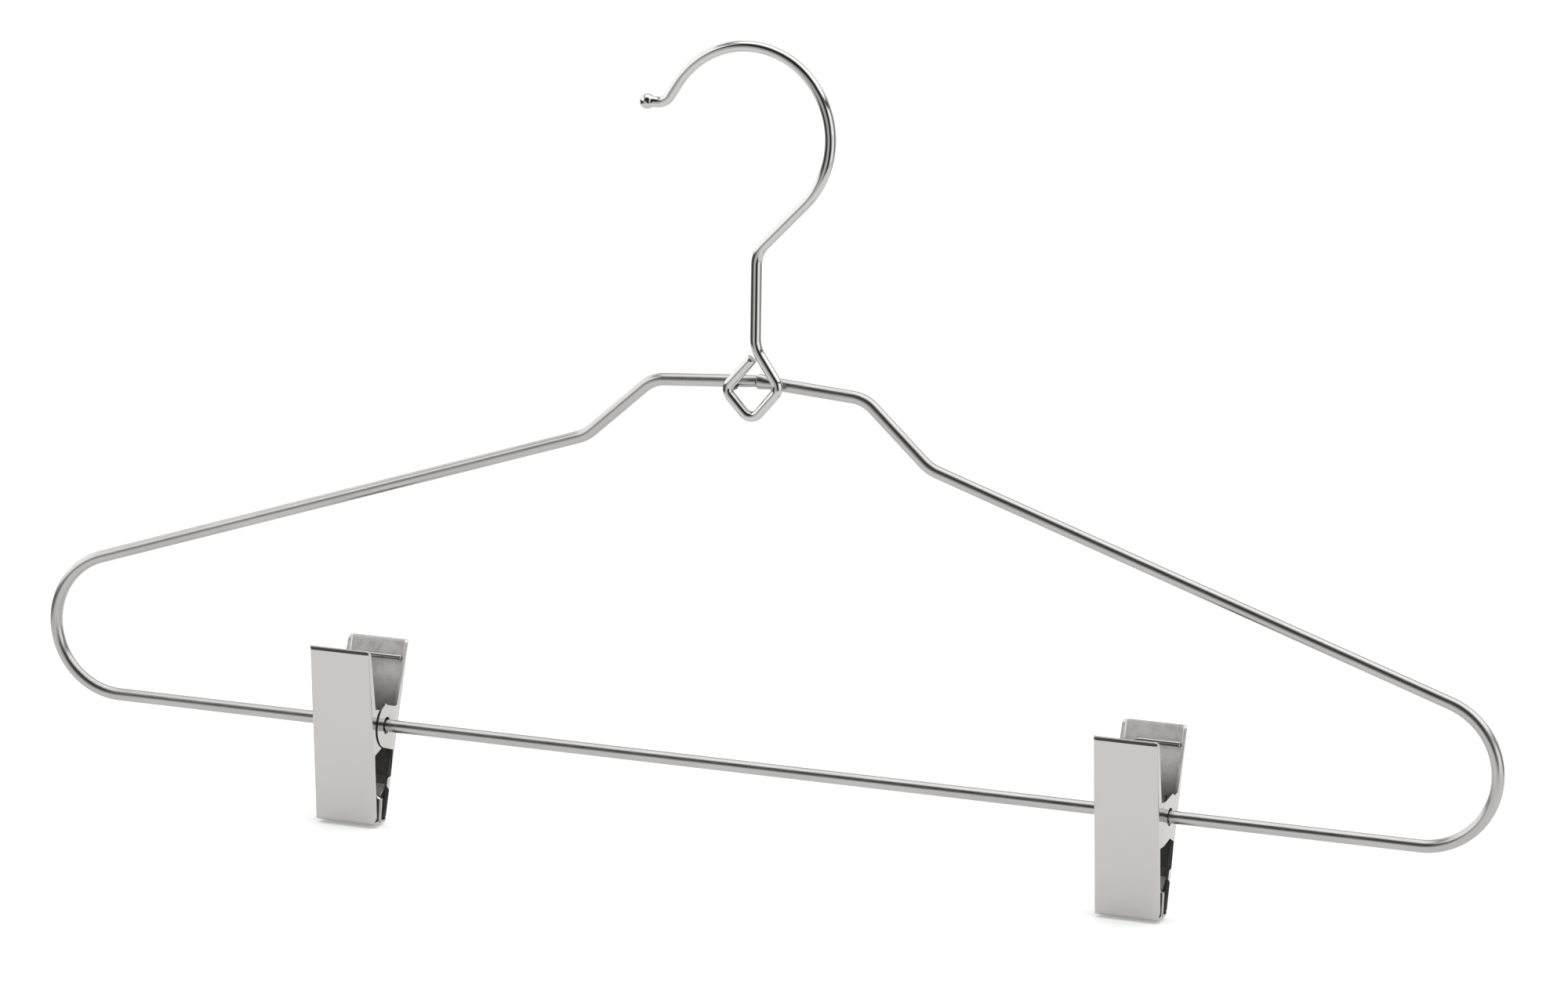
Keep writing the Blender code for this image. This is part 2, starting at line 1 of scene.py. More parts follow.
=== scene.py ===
# %% [markdown]
# # A wire clip hanger in Blender
#
# The hanger is three kinds of metal part: one bent frame wire with a soft drawn sheen, one bent hook wire
# with a mirror finish, and two sprung clips stamped from chromed sheet. The imported model is loaded first
# and acts as a fixed frame: every piece below but the springs rides on one of its bodies, so the jaws still
# slide, swing and open, while the springs stay where they are put.

# %% Load the frame
import math

import bmesh
import bpy
import numpy as np
from mathutils import Matrix, Vector


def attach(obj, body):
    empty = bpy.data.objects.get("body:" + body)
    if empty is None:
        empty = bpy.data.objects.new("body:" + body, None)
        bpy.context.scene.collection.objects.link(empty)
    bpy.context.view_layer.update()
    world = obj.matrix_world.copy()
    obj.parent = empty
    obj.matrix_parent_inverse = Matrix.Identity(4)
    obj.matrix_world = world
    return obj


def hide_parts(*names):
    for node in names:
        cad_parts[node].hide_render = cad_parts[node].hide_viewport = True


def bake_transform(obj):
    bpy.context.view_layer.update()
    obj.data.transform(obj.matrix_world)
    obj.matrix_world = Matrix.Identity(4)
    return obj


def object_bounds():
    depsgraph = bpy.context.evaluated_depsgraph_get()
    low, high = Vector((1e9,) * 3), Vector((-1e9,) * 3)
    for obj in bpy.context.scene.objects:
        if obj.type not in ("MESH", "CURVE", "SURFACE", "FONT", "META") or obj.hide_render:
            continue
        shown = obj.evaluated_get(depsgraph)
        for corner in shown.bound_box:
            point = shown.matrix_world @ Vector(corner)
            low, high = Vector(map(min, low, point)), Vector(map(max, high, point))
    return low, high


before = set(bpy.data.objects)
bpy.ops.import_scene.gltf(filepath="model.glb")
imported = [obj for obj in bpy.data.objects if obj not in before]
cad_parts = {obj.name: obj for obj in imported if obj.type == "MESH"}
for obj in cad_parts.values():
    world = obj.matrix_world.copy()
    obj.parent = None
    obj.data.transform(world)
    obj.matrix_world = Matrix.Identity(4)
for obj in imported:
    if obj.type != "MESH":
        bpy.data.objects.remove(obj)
cad_low, cad_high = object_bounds()
scene = bpy.context.scene
scene.view_settings.view_transform = "Standard"
print("CAD box in mm:", [round(v * 1000, 1) for v in (cad_high - cad_low)])

# %% [markdown]
# ## The camera
#
# The camera was fitted to the photograph: the two ends of the bar, the hook and the clips fix where it
# stands and how it is turned. It looks down a little from the right of the middle, and it is rolled by two
# degrees, which is why the bar runs downhill in the picture. A long lens keeps the perspective gentle. The
# shift stays at zero, so other views can reuse the same camera.

# %% Camera
CAMERA_PLACE = np.array([0.57006, -1.55725, 0.19961])
CAMERA_YAW = math.radians(19.65)
CAMERA_DOWN = math.radians(10.97)
CAMERA_ROLL = math.radians(1.92)
CAMERA_LENS = 144.0
SENSOR_WIDTH = 36.0
FAR_LIMIT = 60.0


def camera_axes(yaw, down, roll):
    """Right, up and back of a camera turned left, pitched down and rolled about its line of sight."""
    forward = np.array([-math.sin(yaw) * math.cos(down), math.cos(yaw) * math.cos(down), -math.sin(down)])
    level = np.array([math.cos(yaw), math.sin(yaw), 0.0])
    upright = np.cross(level, forward)
    right = math.cos(roll) * level + math.sin(roll) * upright
    up = math.cos(roll) * upright - math.sin(roll) * level
    return right, up, -forward


lens = bpy.data.cameras.new("product_camera")
lens.lens = CAMERA_LENS
lens.sensor_width = SENSOR_WIDTH
lens.clip_end = FAR_LIMIT
camera = bpy.data.objects.new("product_camera", lens)
scene.collection.objects.link(camera)
axes = np.array(camera_axes(CAMERA_YAW, CAMERA_DOWN, CAMERA_ROLL)).T
camera.matrix_world = Matrix([[*axes[row], CAMERA_PLACE[row]] for row in range(3)] + [[0.0, 0.0, 0.0, 1.0]])
scene.camera = camera
print("camera at", CAMERA_PLACE, "with a", CAMERA_LENS, "mm lens")

# %% [markdown]
# ## The studio that the metal mirrors
#
# Polished metal has almost no colour of its own: what is seen on it is the room. The photograph was taken
# in a white studio, and the wires carry a bright band from a box of light overhead, a thin dark line from
# the gap above the camera, and upright dark lines from the stands beside it. A photograph of a real room
# could be wrapped round the scene, but a formula of direction stays sharp and can be tuned. It turns a
# direction into two angles, azimuth round the object and elevation over the horizon, and sets a few
# soft-edged windows of those angles darker, for stands and gaps, or brighter, for softboxes. It is built once
# as a node group, and both the world and the floor use it.

# %% Helpers for node trees
def node(tree, kind, label="", **settings):
    """A new node with a label and some of its settings."""
    made = tree.nodes.new(kind)
    made.label = label
    for key, value in settings.items():
        setattr(made, key, value)
    return made


def feed(tree, socket, value):
    """Set a socket to a number or colour, or wire another node's output to it."""
    if isinstance(value, bpy.types.NodeSocket):
        tree.links.new(value, socket)
    elif value is not None:
        socket.default_value = value


def maths(tree, operation, a, b=None, c=None, clamp=False):
    """The result of one Math node."""
    made = node(tree, "ShaderNodeMath", operation=operation, use_clamp=clamp)
    for socket, value in zip(made.inputs, (a, b, c)):
        feed(tree, socket, value)
    return made.outputs[0]


def ramp(tree, value, low, high, at_low=0.0, at_high=1.0):
    """A smooth step: one level up to low, another from high on, and an S-curve between them."""
    made = node(tree, "ShaderNodeMapRange", interpolation_type="SMOOTHSTEP")
    for name, given in (("Value", value), ("From Min", low), ("From Max", high), ("To Min", at_low),
                        ("To Max", at_high)):
        feed(tree, made.inputs[name], given)
    return made.outputs["Result"]


def window(tree, value, middle, half, soft):
    """A window of a value: one within half of middle, nought outside, with edges as wide as soft."""
    away = maths(tree, "ABSOLUTE", maths(tree, "SUBTRACT", value, middle))
    return ramp(tree, away, half, half + soft, 1.0, 0.0)


print("node helpers ready")

# %% The room as a formula of direction
LEVEL_BELOW = 0.96
LEVEL_AHEAD = 0.70
LEVEL_OVERHEAD = 1.75
FLOOR_EDGE = (-34.0, -8.0)
CEILING_EDGE = (40.0, 66.0)
# Each panel is a name, azimuth, half width and soft edge, elevation, half height and soft edge, and a level
PANELS = (
    ("softbox at the upper right", 100.0, 38.0, 30.0, 50.0, 14.0, 12.0, 1.70),
    ("white wall ahead", -22.0, 14.0, 20.0, -2.0, 11.0, 15.0, 0.68),
    ("dark gap over the camera", 6.0, 22.0, 44.0, 36.0, 12.0, 36.0, 0.03),
    ("left side of that gap", -19.0, 12.0, 12.0, 36.0, 10.0, 22.0, 0.035),
    ("rail at the upper left", -92.0, 34.0, 16.0, 51.0, 3.0, 9.0, 0.34),
    ("softbox on the left", -88.0, 43.0, 10.0, 25.0, 17.0, 6.0, 1.50),
    ("dark floor on the left", -72.0, 20.0, 26.0, -12.0, 13.0, 9.0, 0.08),
    ("softbox on the right", 74.0, 13.0, 18.0, 4.0, 14.0, 5.0, 1.45),
    ("rail over the right softbox", 85.0, 32.0, 12.0, 25.0, 1.0, 5.0, 0.12),
    ("stand behind the right softbox", 119.0, 6.0, 16.0, 8.0, 13.0, 12.0, 0.20),
    ("stand right of the camera", 20.0, 9.0, 16.0, 6.0, 12.0, 12.0, 0.03),
    ("foot of that stand", 33.0, 8.0, 14.0, -15.0, 7.0, 9.0, 0.04),
)


def studio_group():
    """Brightness seen in a direction, as a node group from a unit vector to one number.

    Azimuth is the arc tangent of X over -Y, so 0 looks at the front of the hanger, and elevation is the arc
    sine of Z. The plain room is dimmer ahead than below and overhead. Each panel then covers it by the
    product of a window of azimuth and a window of elevation, with the panel's own level.
    """
    group = bpy.data.node_groups.new("studio", "ShaderNodeTree")
    group.interface.new_socket("Direction", in_out="INPUT", socket_type="NodeSocketVector")
    group.interface.new_socket("Brightness", in_out="OUTPUT", socket_type="NodeSocketFloat")
    source = node(group, "NodeGroupInput")
    parts = node(group, "ShaderNodeSeparateXYZ", "direction")
    group.links.new(source.outputs["Direction"], parts.inputs[0])
    x, y, z = parts.outputs
    degrees = 180.0 / math.pi
    azimuth = maths(group, "MULTIPLY", maths(group, "ARCTAN2", x, maths(group, "MULTIPLY", y, -1.0)), degrees)
    elevation = maths(group, "MULTIPLY", maths(group, "ARCSINE", z), degrees)
    ahead = ramp(group, elevation, *FLOOR_EDGE, LEVEL_BELOW, LEVEL_AHEAD)
    level = ramp(group, elevation, *CEILING_EDGE, ahead, LEVEL_OVERHEAD)
    for label, middle, half, soft, height, half_height, soft_height, own in PANELS:
        cover = maths(group, "MULTIPLY", window(group, azimuth, middle, half, soft),
                      window(group, elevation, height, half_height, soft_height))
        change = maths(group, "MULTIPLY", cover, maths(group, "SUBTRACT", own, level))
        level = maths(group, "ADD", level, change)
        level.node.label = label
    result = node(group, "NodeGroupOutput")
    group.links.new(level, result.inputs["Brightness"])
    return group


studio = studio_group()
print("studio group with", len(studio.nodes), "nodes")

# %% [markdown]
# ## The world
#
# The camera sees plain white, and rough surfaces are lit by plain white too. Only a mirror-like ray, which
# Blender calls a glossy ray, sees the room of stands and softboxes.

# %% World
world = bpy.data.worlds.new("white_studio")
scene.world = world
world.use_nodes = True
tree = world.node_tree
tree.nodes.clear()
place = node(tree, "ShaderNodeTexCoord")
room = node(tree, "ShaderNodeGroup", "studio", node_tree=studio)
tree.links.new(place.outputs["Generated"], room.inputs["Direction"])
path = node(tree, "ShaderNodeLightPath")
plain = node(tree, "ShaderNodeBackground", "plain white")
plain.inputs["Color"].default_value = (1.0, 1.0, 1.0, 1.0)
mirrored = node(tree, "ShaderNodeBackground", "what metal mirrors")
mirrored.inputs["Color"].default_value = (1.0, 1.0, 1.0, 1.0)
tree.links.new(room.outputs["Brightness"], mirrored.inputs["Strength"])
choose = node(tree, "ShaderNodeMixShader")
tree.links.new(path.outputs["Is Glossy Ray"], choose.inputs[0])
tree.links.new(plain.outputs[0], choose.inputs[1])
tree.links.new(mirrored.outputs[0], choose.inputs[2])
output = node(tree, "ShaderNodeOutputWorld")
tree.links.new(choose.outputs[0], output.inputs["Surface"])
print("world set")

# %% [markdown]
# ## The floor and the lamp
#
# The floor is a wide white disc just under the clips. Its diffuse part keeps their soft shadows. A glow
# that only the camera and mirrored rays see lifts it to plain white, so no horizon shows. In the metal, the
# floor is plain paper near the clips and shows the studio's stands further out. One broad lamp overhead
# gives the shadows their direction.

# %% Floor and lamp
FLOOR_GAP = 0.0006
FLOOR_RADIUS = 14.0
ROOM_CENTRE = (0.0, 0.0, -0.10)
FLOOR_RINGS = 24
FLOOR_SPOKES = 96
PAPER_EDGE = (0.36, 0.56)
PAPER_WHITE = 0.80
CAMERA_GLOW = 0.30
MIRRORED_GLOW = 0.22
MIRRORED_PAPER = 0.87
LAMP_SIZE = (1.6, 1.0)
LAMP_POWER = 6.0
LAMP_PLACE = (0.35, -0.25, 1.5)


def floor_disc(radius, height, rings, spokes):
    """A flat disc of rings of points, whose radii grow with the square of the ring's number."""
    away = radius * np.linspace(0.0, 1.0, rings + 1)[1:] ** 2
    turn = np.arange(spokes) * 2 * math.pi / spokes
    x = np.concatenate([[0.0], np.outer(away, np.cos(turn)).ravel()])
    y = np.concatenate([[0.0], np.outer(away, np.sin(turn)).ravel()])
    points = np.stack([x, y, np.full(len(x), height)], axis=1)
    k = np.arange(spokes)
    first = np.stack([np.zeros(spokes, int), 1 + k, 1 + (k + 1) % spokes], axis=1)
    i, k = np.meshgrid(np.arange(rings - 1), np.arange(spokes), indexing="ij")
    m = (k + 1) % spokes
    inner = i * spokes
    outer = inner + spokes
    quads = 1 + np.stack([inner + k, outer + k, outer + m, inner + m], axis=-1)
    mesh = bpy.data.meshes.new("floor")
    mesh.from_pydata(points.tolist(), [], first.tolist() + quads.reshape(-1, 4).tolist())
    return mesh


def floor_material():
    """White paper: diffuse, plus a glow for the camera and for mirrored rays.

    Mirrored rays see paper and glow at one level near the middle, and at the studio's own level further
    out.
    """
    material = bpy.data.materials.new("white_paper")
    material.use_nodes = True
    tree = material.node_tree
    tree.nodes.clear()
    paper = node(tree, "ShaderNodeBsdfDiffuse", "paper")
    paper.inputs["Color"].default_value = (PAPER_WHITE, PAPER_WHITE, PAPER_WHITE, 1.0)
    place = node(tree, "ShaderNodeNewGeometry")
    from_middle = node(tree, "ShaderNodeVectorMath", operation="SUBTRACT")
    tree.links.new(place.outputs["Position"], from_middle.inputs[0])
    from_middle.inputs[1].default_value = ROOM_CENTRE
    towards = node(tree, "ShaderNodeVectorMath", operation="NORMALIZE")
    tree.links.new(from_middle.outputs[0], towards.inputs[0])
    room = node(tree, "ShaderNodeGroup", "studio", node_tree=studio)
    tree.links.new(towards.outputs[0], room.inputs["Direction"])
    distance = node(tree, "ShaderNodeVectorMath", operation="LENGTH")
    tree.links.new(from_middle.outputs[0], distance.inputs[0])
    far = ramp(tree, distance.outputs["Value"], *PAPER_EDGE)
    near_level = maths(tree, "MULTIPLY", maths(tree, "SUBTRACT", 1.0, far), LEVEL_BELOW)
    level = maths(tree, "ADD", near_level, maths(tree, "MULTIPLY", far, room.outputs["Brightness"]))
    path = node(tree, "ShaderNodeLightPath")
    seen = maths(tree, "MULTIPLY", path.outputs["Is Camera Ray"], CAMERA_GLOW)
    glow_level = maths(tree, "MULTIPLY", level, MIRRORED_GLOW)
    mirrored = maths(tree, "MULTIPLY", path.outputs["Is Glossy Ray"], glow_level)
    glow = node(tree, "ShaderNodeEmission", "glow")
    tree.links.new(maths(tree, "ADD", seen, mirrored), glow.inputs["Strength"])
    hidden = maths(tree, "SUBTRACT", 1.0, maths(tree, "MULTIPLY", level, MIRRORED_PAPER))
    shows = maths(tree, "SUBTRACT", 1.0, maths(tree, "MULTIPLY", path.outputs["Is Glossy Ray"], hidden))
    nothing = node(tree, "ShaderNodeEmission", "nothing")
    nothing.inputs["Strength"].default_value = 0.0
    weighted = node(tree, "ShaderNodeMixShader")
    tree.links.new(shows, weighted.inputs[0])
    tree.links.new(nothing.outputs[0], weighted.inputs[1])
    tree.links.new(paper.outputs[0], weighted.inputs[2])
    both = node(tree, "ShaderNodeAddShader")
    tree.links.new(weighted.outputs[0], both.inputs[0])
    tree.links.new(glow.outputs[0], both.inputs[1])
    output = node(tree, "ShaderNodeOutputMaterial")
    tree.links.new(both.outputs[0], output.inputs["Surface"])
    return material


floor_height = cad_low[2] - FLOOR_GAP
floor = bpy.data.objects.new("floor", floor_disc(FLOOR_RADIUS, floor_height, FLOOR_RINGS, FLOOR_SPOKES))
scene.collection.objects.link(floor)
floor.data.materials.append(floor_material())

lamp_data = bpy.data.lights.new("overhead_softbox", "AREA")
lamp_data.shape = "RECTANGLE"
lamp_data.size, lamp_data.size_y = LAMP_SIZE
lamp_data.energy = LAMP_POWER
lamp = bpy.data.objects.new("overhead_softbox", lamp_data)
scene.collection.objects.link(lamp)
lamp.location = LAMP_PLACE
lamp.rotation_euler = (Vector((0.0, 0.0, floor_height)) - lamp.location).to_track_quat("-Z", "Y").to_euler()
lamp.visible_glossy = False
print("floor at", round(floor_height * 1000, 1), "mm, lamp of", lamp_data.energy, "W")

# %% [markdown]
# ## The metals
#
# Four finishes are needed, and a dark scale for the welds, whose dark also stands in as painted shade where
# the wires touch. The frame wire was pulled through a die before plating, so it has fine lines along its
# length.
# The hook is polished wire under chrome: nearly a mirror, with a slow waviness, a few hairline scratches and
# a dull bloom where hands rub. The clips are chromed sheet, bright outside and dull inside, with painted
# shade and painted dark reflections in places. The springs are plain drawn steel, darker towards their cut
# ends. Each finish is a Principled metal whose roughness and bump come from noise laid out in millimetres,
# either on the wire's own map or on Object coordinates.

# %% Finish helpers
def metal(name, colour, roughness):
    """A metallic Principled material and its tree, with a plain colour and roughness to build on."""
    material = bpy.data.materials.new(name)
    material.use_nodes = True
    tree = material.node_tree
    shader = tree.nodes["Principled BSDF"]
    shader.inputs["Metallic"].default_value = 1.0
    shader.inputs["Base Color"].default_value = (*colour, 1.0)
    shader.inputs["Roughness"].default_value = roughness
    return material, tree, shader


def stretched(tree, source, scale):
    """A coordinate scaled along each axis, so that a noise on it is drawn out into streaks."""
    made = node(tree, "ShaderNodeMapping", vector_type="POINT")
    tree.links.new(source, made.inputs["Vector"])
    made.inputs["Scale"].default_value = scale
    return made.outputs["Vector"]


def noise(tree, vector, detail=2.0, rough=0.5):
    """Smooth noise at unit scale on a coordinate."""
    made = node(tree, "ShaderNodeTexNoise")
    tree.links.new(vector, made.inputs["Vector"])
    made.inputs["Scale"].default_value = 1.0
    made.inputs["Detail"].default_value = detail
    made.inputs["Roughness"].default_value = rough
    return made.outputs["Fac"]


def mix_colours(tree, share, first, second):
    """A blend of two colours by a share from nought to one."""
    made = node(tree, "ShaderNodeMix", data_type="RGBA")
    feed(tree, made.inputs["Factor"], share)
    feed(tree, made.inputs["A"], first)
    feed(tree, made.inputs["B"], second)
    return made.outputs["Result"]


def bump(tree, height, strength, depth, under=None):
    """A bump from a height, whose full swing is a depth in metres."""
    made = node(tree, "ShaderNodeBump")
    made.inputs["Strength"].default_value = strength
    made.inputs["Distance"].default_value = depth
    tree.links.new(height, made.inputs["Height"])
    if under is not None:
        tree.links.new(under, made.inputs["Normal"])
    return made.outputs["Normal"]


print("finish helpers ready")

# %% [markdown]
# ## Drawn wire
#
# The die leaves fine lines along the wire, which smear what it mirrors across them. A picture of scratches
# would repeat, so the lines are noise stretched along the wire, on a map that follows every bend. Beside the
# weld the plating has turned dull with heat, a spring's wire is darker towards its cut ends, and an attribute
# on the wire's points says where.

# %% Drawn wire finish
WELD_AND_END_TINT = (0.20, 0.19, 0.18)


def drawn_wire(name, light, dark, roughness, line_depth):
    """Wire pulled through a die, with fine lines along its length read from the wire's own map.

    The lines are noise stretched forty times along the wire. They move the roughness and a shallow bump,
    and a slower noise clouds the plating between two close greys. An attribute darkens it beside a weld,
    where heat tinted it, and towards a spring's cut ends.
    """
    material, tree, shader = metal(name, light, roughness)
    along = node(tree, "ShaderNodeUVMap", uv_map="wire_mm").outputs["UV"]
    lines = noise(tree, stretched(tree, along, (0.15, 6.0, 1.0)), 3.0, 0.6)
    clouds = noise(tree, stretched(tree, along, (0.03, 0.10, 1.0)), 2.0, 0.5)
    tint = mix_colours(tree, ramp(tree, clouds, 0.35, 0.65), (*dark, 1.0), (*light, 1.0))
    heat = node(tree, "ShaderNodeAttribute", attribute_name="heat").outputs["Fac"]
    scale = maths(tree, "MULTIPLY", heat, ramp(tree, lines, 0.30, 0.70, 0.35, 0.85))
    tree.links.new(mix_colours(tree, scale, tint, (*WELD_AND_END_TINT, 1.0)), shader.inputs["Base Color"])
    rough = ramp(tree, lines, 0.25, 0.75, roughness * 0.75, roughness * 1.30)
    tree.links.new(rough, shader.inputs["Roughness"])
    tree.links.new(bump(tree, lines, 0.35, line_depth), shader.inputs["Normal"])
    return material


satin_nickel = drawn_wire("satin_nickel", (0.53, 0.525, 0.515), (0.48, 0.475, 0.465), 0.24, 0.000012)
spring_steel = drawn_wire("spring_steel", (0.50, 0.495, 0.485), (0.40, 0.395, 0.385), 0.20, 0.000010)
print("drawn finishes:", satin_nickel.name, spring_steel.name)

# %% [markdown]
# ## The polished hook
#
# The hook was polished before it was chromed, so it is a near mirror, and the streaks on it wander a little.
# Two bumps do this: a slow wave of a few hundredths of a millimetre, and hairlines that are far shallower.

# %% Mirror chrome for the hook
def hook_chrome():
    """Chrome over polished wire: a near mirror with a slow waviness and faint hairlines."""
    material, tree, shader = metal("bright_chrome", (0.60, 0.597, 0.59), 0.07)
    along = node(tree, "ShaderNodeUVMap", uv_map="wire_mm").outputs["UV"]
    wave = noise(tree, stretched(tree, along, (0.20, 0.25, 1.0)), 1.0, 0.4)
    hairs = noise(tree, stretched(tree, along, (0.6, 9.0, 1.0)), 2.0, 0.6)
    bloom = noise(tree, stretched(tree, along, (0.05, 0.12, 1.0)), 3.0, 0.6)
    bloomed = ramp(tree, bloom, 0.45, 0.75, 0.03, 0.07)
    rough = maths(tree, "ADD", bloomed, ramp(tree, hairs, 0.60, 0.80, 0.0, 0.05))
    tree.links.new(rough, shader.inputs["Roughness"])
    waved = bump(tree, wave, 0.5, 0.00003)
    tree.links.new(bump(tree, hairs, 0.15, 0.000006, waved), shader.inputs["Normal"])
    return material


bright_chrome = hook_chrome()
print("hook finish:", bright_chrome.name)

# %% [markdown]
# ## Weld scale and painted shade
#
# Spot welding melts a little metal and leaves it dark and pitted, and here that dark also stands in as
# painted shade where the two wires touch. Plain noise on Object coordinates is enough here, because the lumps
# are only a millimetre or two wide.

# %% Weld scale and painted shade
def scaled_and_shaded_weld():
    """Melted metal gone dark, also as painted shade where the wires touch: a rough grey whose noise pits it
    and clears a few bright points.
    """
    material, tree, shader = metal("weld_scale_and_shade", (0.20, 0.19, 0.18), 0.45)
    place = node(tree, "ShaderNodeTexCoord").outputs["Object"]
    pits = noise(tree, stretched(tree, place, (1800.0, 1800.0, 1800.0)), 3.0, 0.6)
    tint = mix_colours(tree, ramp(tree, pits, 0.52, 0.70), (0.13, 0.125, 0.12, 1.0), (0.45, 0.44, 0.42, 1.0))
    tree.links.new(tint, shader.inputs["Base Color"])
    tree.links.new(ramp(tree, pits, 0.35, 0.70, 0.50, 0.28), shader.inputs["Roughness"])
    tree.links.new(bump(tree, pits, 0.6, 0.00012), shader.inputs["Normal"])
    return material


weld_scale_and_shade = scaled_and_shaded_weld()
print("weld finish:", weld_scale_and_shade.name)

# %% [markdown]
# ## Chromed sheet
#
# The clips were stamped, polished on their outside and chromed. Outside they mirror the room evenly. Inside,
# where no wheel reached, they scatter more light and look greyer. Deep inside, on the ears' rims and along
# the handle's top they are painted dark, as painted shade and painted dark reflections. One material does all
# three, steered by two numbers on each face, so that a jaw stays one piece.

# %% Pressed and chromed sheet for the clips
SHEET_LIGHT = (0.60, 0.59, 0.575)
SHEET_DULL = (0.76, 0.750, 0.733)
# Colour of the painted shade and painted dark reflections on the clips.
SHEET_PAINTED_DARK = (0.06, 0.059, 0.057)
SHEET_SCATTER = 0.55
SHADOW_HEIGHTS = (-0.193, -0.180)
SHADOW_SHARE = 0.80
DULL_ROUGHNESS = 0.16
GRAIN_OUTSIDE = 0.08
GRAIN_INSIDE = 0.9


def sheet_chrome():
    """Chromed sheet: bright outside, duller and grainy on the inside, where polishing never reached.

    The piece carries an attribute that is one on its inward faces, and another that says where painted dark
    goes: painted shade on the ears' sheared rims and deep inside the grip end, and painted dark reflections
    on the handle's top roundings. On inward faces a painted shade also darkens them down towards the bar.
    Noise on
    Object coordinates, scaled to millimetres, gives the orange peel, the hairlines and the grain.
    """
    material, tree, shader = metal("pressed_chrome", SHEET_LIGHT, 0.12)
    place = node(tree, "ShaderNodeTexCoord").outputs["Object"]
    inward = node(tree, "ShaderNodeAttribute", attribute_name="inward").outputs["Fac"]
    peel = noise(tree, stretched(tree, place, (160.0, 160.0, 110.0)), 2.0, 0.5)
    hairs = noise(tree, stretched(tree, place, (5200.0, 900.0, 240.0)), 2.0, 0.6)
    grain = noise(tree, stretched(tree, place, (2600.0, 2600.0, 2600.0)), 3.0, 0.7)
    blotch = noise(tree, stretched(tree, place, (420.0, 420.0, 420.0)), 4.0, 0.65)
    dull = maths(tree, "MULTIPLY", inward, ramp(tree, blotch, 0.30, 0.62, 0.80, 1.0))
    plated = mix_colours(tree, dull, (*SHEET_LIGHT, 1.0), (*SHEET_DULL, 1.0))
    # Painted shade: inward faces darken down towards the bar.
    height = node(tree, "ShaderNodeSeparateXYZ")
    tree.links.new(place, height.inputs[0])
    shadow = ramp(tree, height.outputs["Z"], *SHADOW_HEIGHTS, SHADOW_SHARE, 0.0)
    shadow = maths(tree, "MULTIPLY", inward, shadow)
    # Painted shade and painted dark reflections, marked face by face on each jaw.
    marked = node(tree, "ShaderNodeAttribute", attribute_name="painted_dark").outputs["Fac"]
    painted_dark = maths(tree, "MAXIMUM", marked, shadow)
    tint = mix_colours(tree, painted_dark, plated, (*SHEET_PAINTED_DARK, 1.0))
    tree.links.new(tint, shader.inputs["Base Color"])
    metallic = maths(tree, "SUBTRACT", 1.0, maths(tree, "MULTIPLY", dull, SHEET_SCATTER))
    tree.links.new(metallic, shader.inputs["Metallic"])
    peeled_rough = ramp(tree, peel, 0.35, 0.70, 0.06, 0.10)
    polished = maths(tree, "ADD", peeled_rough, ramp(tree, hairs, 0.62, 0.80, 0.0, 0.06))
    rough = maths(tree, "ADD", polished, maths(tree, "MULTIPLY", dull, DULL_ROUGHNESS))
    tree.links.new(rough, shader.inputs["Roughness"])
    peeled = bump(tree, peel, 0.30, 0.000010)
    grain_share = maths(tree, "ADD", maths(tree, "MULTIPLY", inward, GRAIN_INSIDE), GRAIN_OUTSIDE)
    grainy = maths(tree, "MULTIPLY", grain, grain_share)
    tree.links.new(bump(tree, grainy, 0.5, 0.000006, peeled), shader.inputs["Normal"])
    return material


pressed_chrome = sheet_chrome()
print("clip finish:", pressed_chrome.name)

# %% [markdown]
# ## Wires as swept circles
#
# Every wire here is the same surface: a circle carried along a path. The path is worked out first, as
# straight runs joined by round bends, and then the circle is set square to it at each point. The whole grid
# of points is one numpy expression, with the path's number in one direction and the turn round the wire in
# the other. A second map keeps millimetres along and around, so the drawn lines follow the wire through
# every bend.

# %% Paths
def bend(before, corner, after, radius, step):
    """Points of the arc that replaces a corner, from one radius vector to the other at an even turn."""
    to_before = (before - corner) / np.linalg.norm(before - corner)
    to_after = (after - corner) / np.linalg.norm(after - corner)
    inside = math.acos(float(np.clip(np.dot(to_before, to_after), -1.0, 1.0)))
    turn = math.pi - inside
    towards = (to_before + to_after) / np.linalg.norm(to_before + to_after)
    centre = corner + towards * radius / math.sin(inside / 2)
    first = corner + to_before * radius * math.tan(turn / 2) - centre
    last = corner + to_after * radius * math.tan(turn / 2) - centre
    share = np.linspace(0.0, 1.0, max(3, math.ceil(turn / step)) + 1)[:, None]
    return centre + (np.sin((1 - share) * turn) * first + np.sin(share * turn) * last) / math.sin(turn)


def bent_path(corners, radii, step=math.radians(3.0)):
    """Straight runs with each corner rounded to its radius, or kept sharp where the radius is nought."""
    corners = np.array(corners, float)
    pieces = []
    for i, radius in enumerate(radii):
        if radius == 0:
            pieces.append(corners[i:i + 1])
        else:
            pieces.append(bend(corners[i - 1], corners[i], corners[(i + 1) % len(corners)], radius, step))
    return np.vstack(pieces)


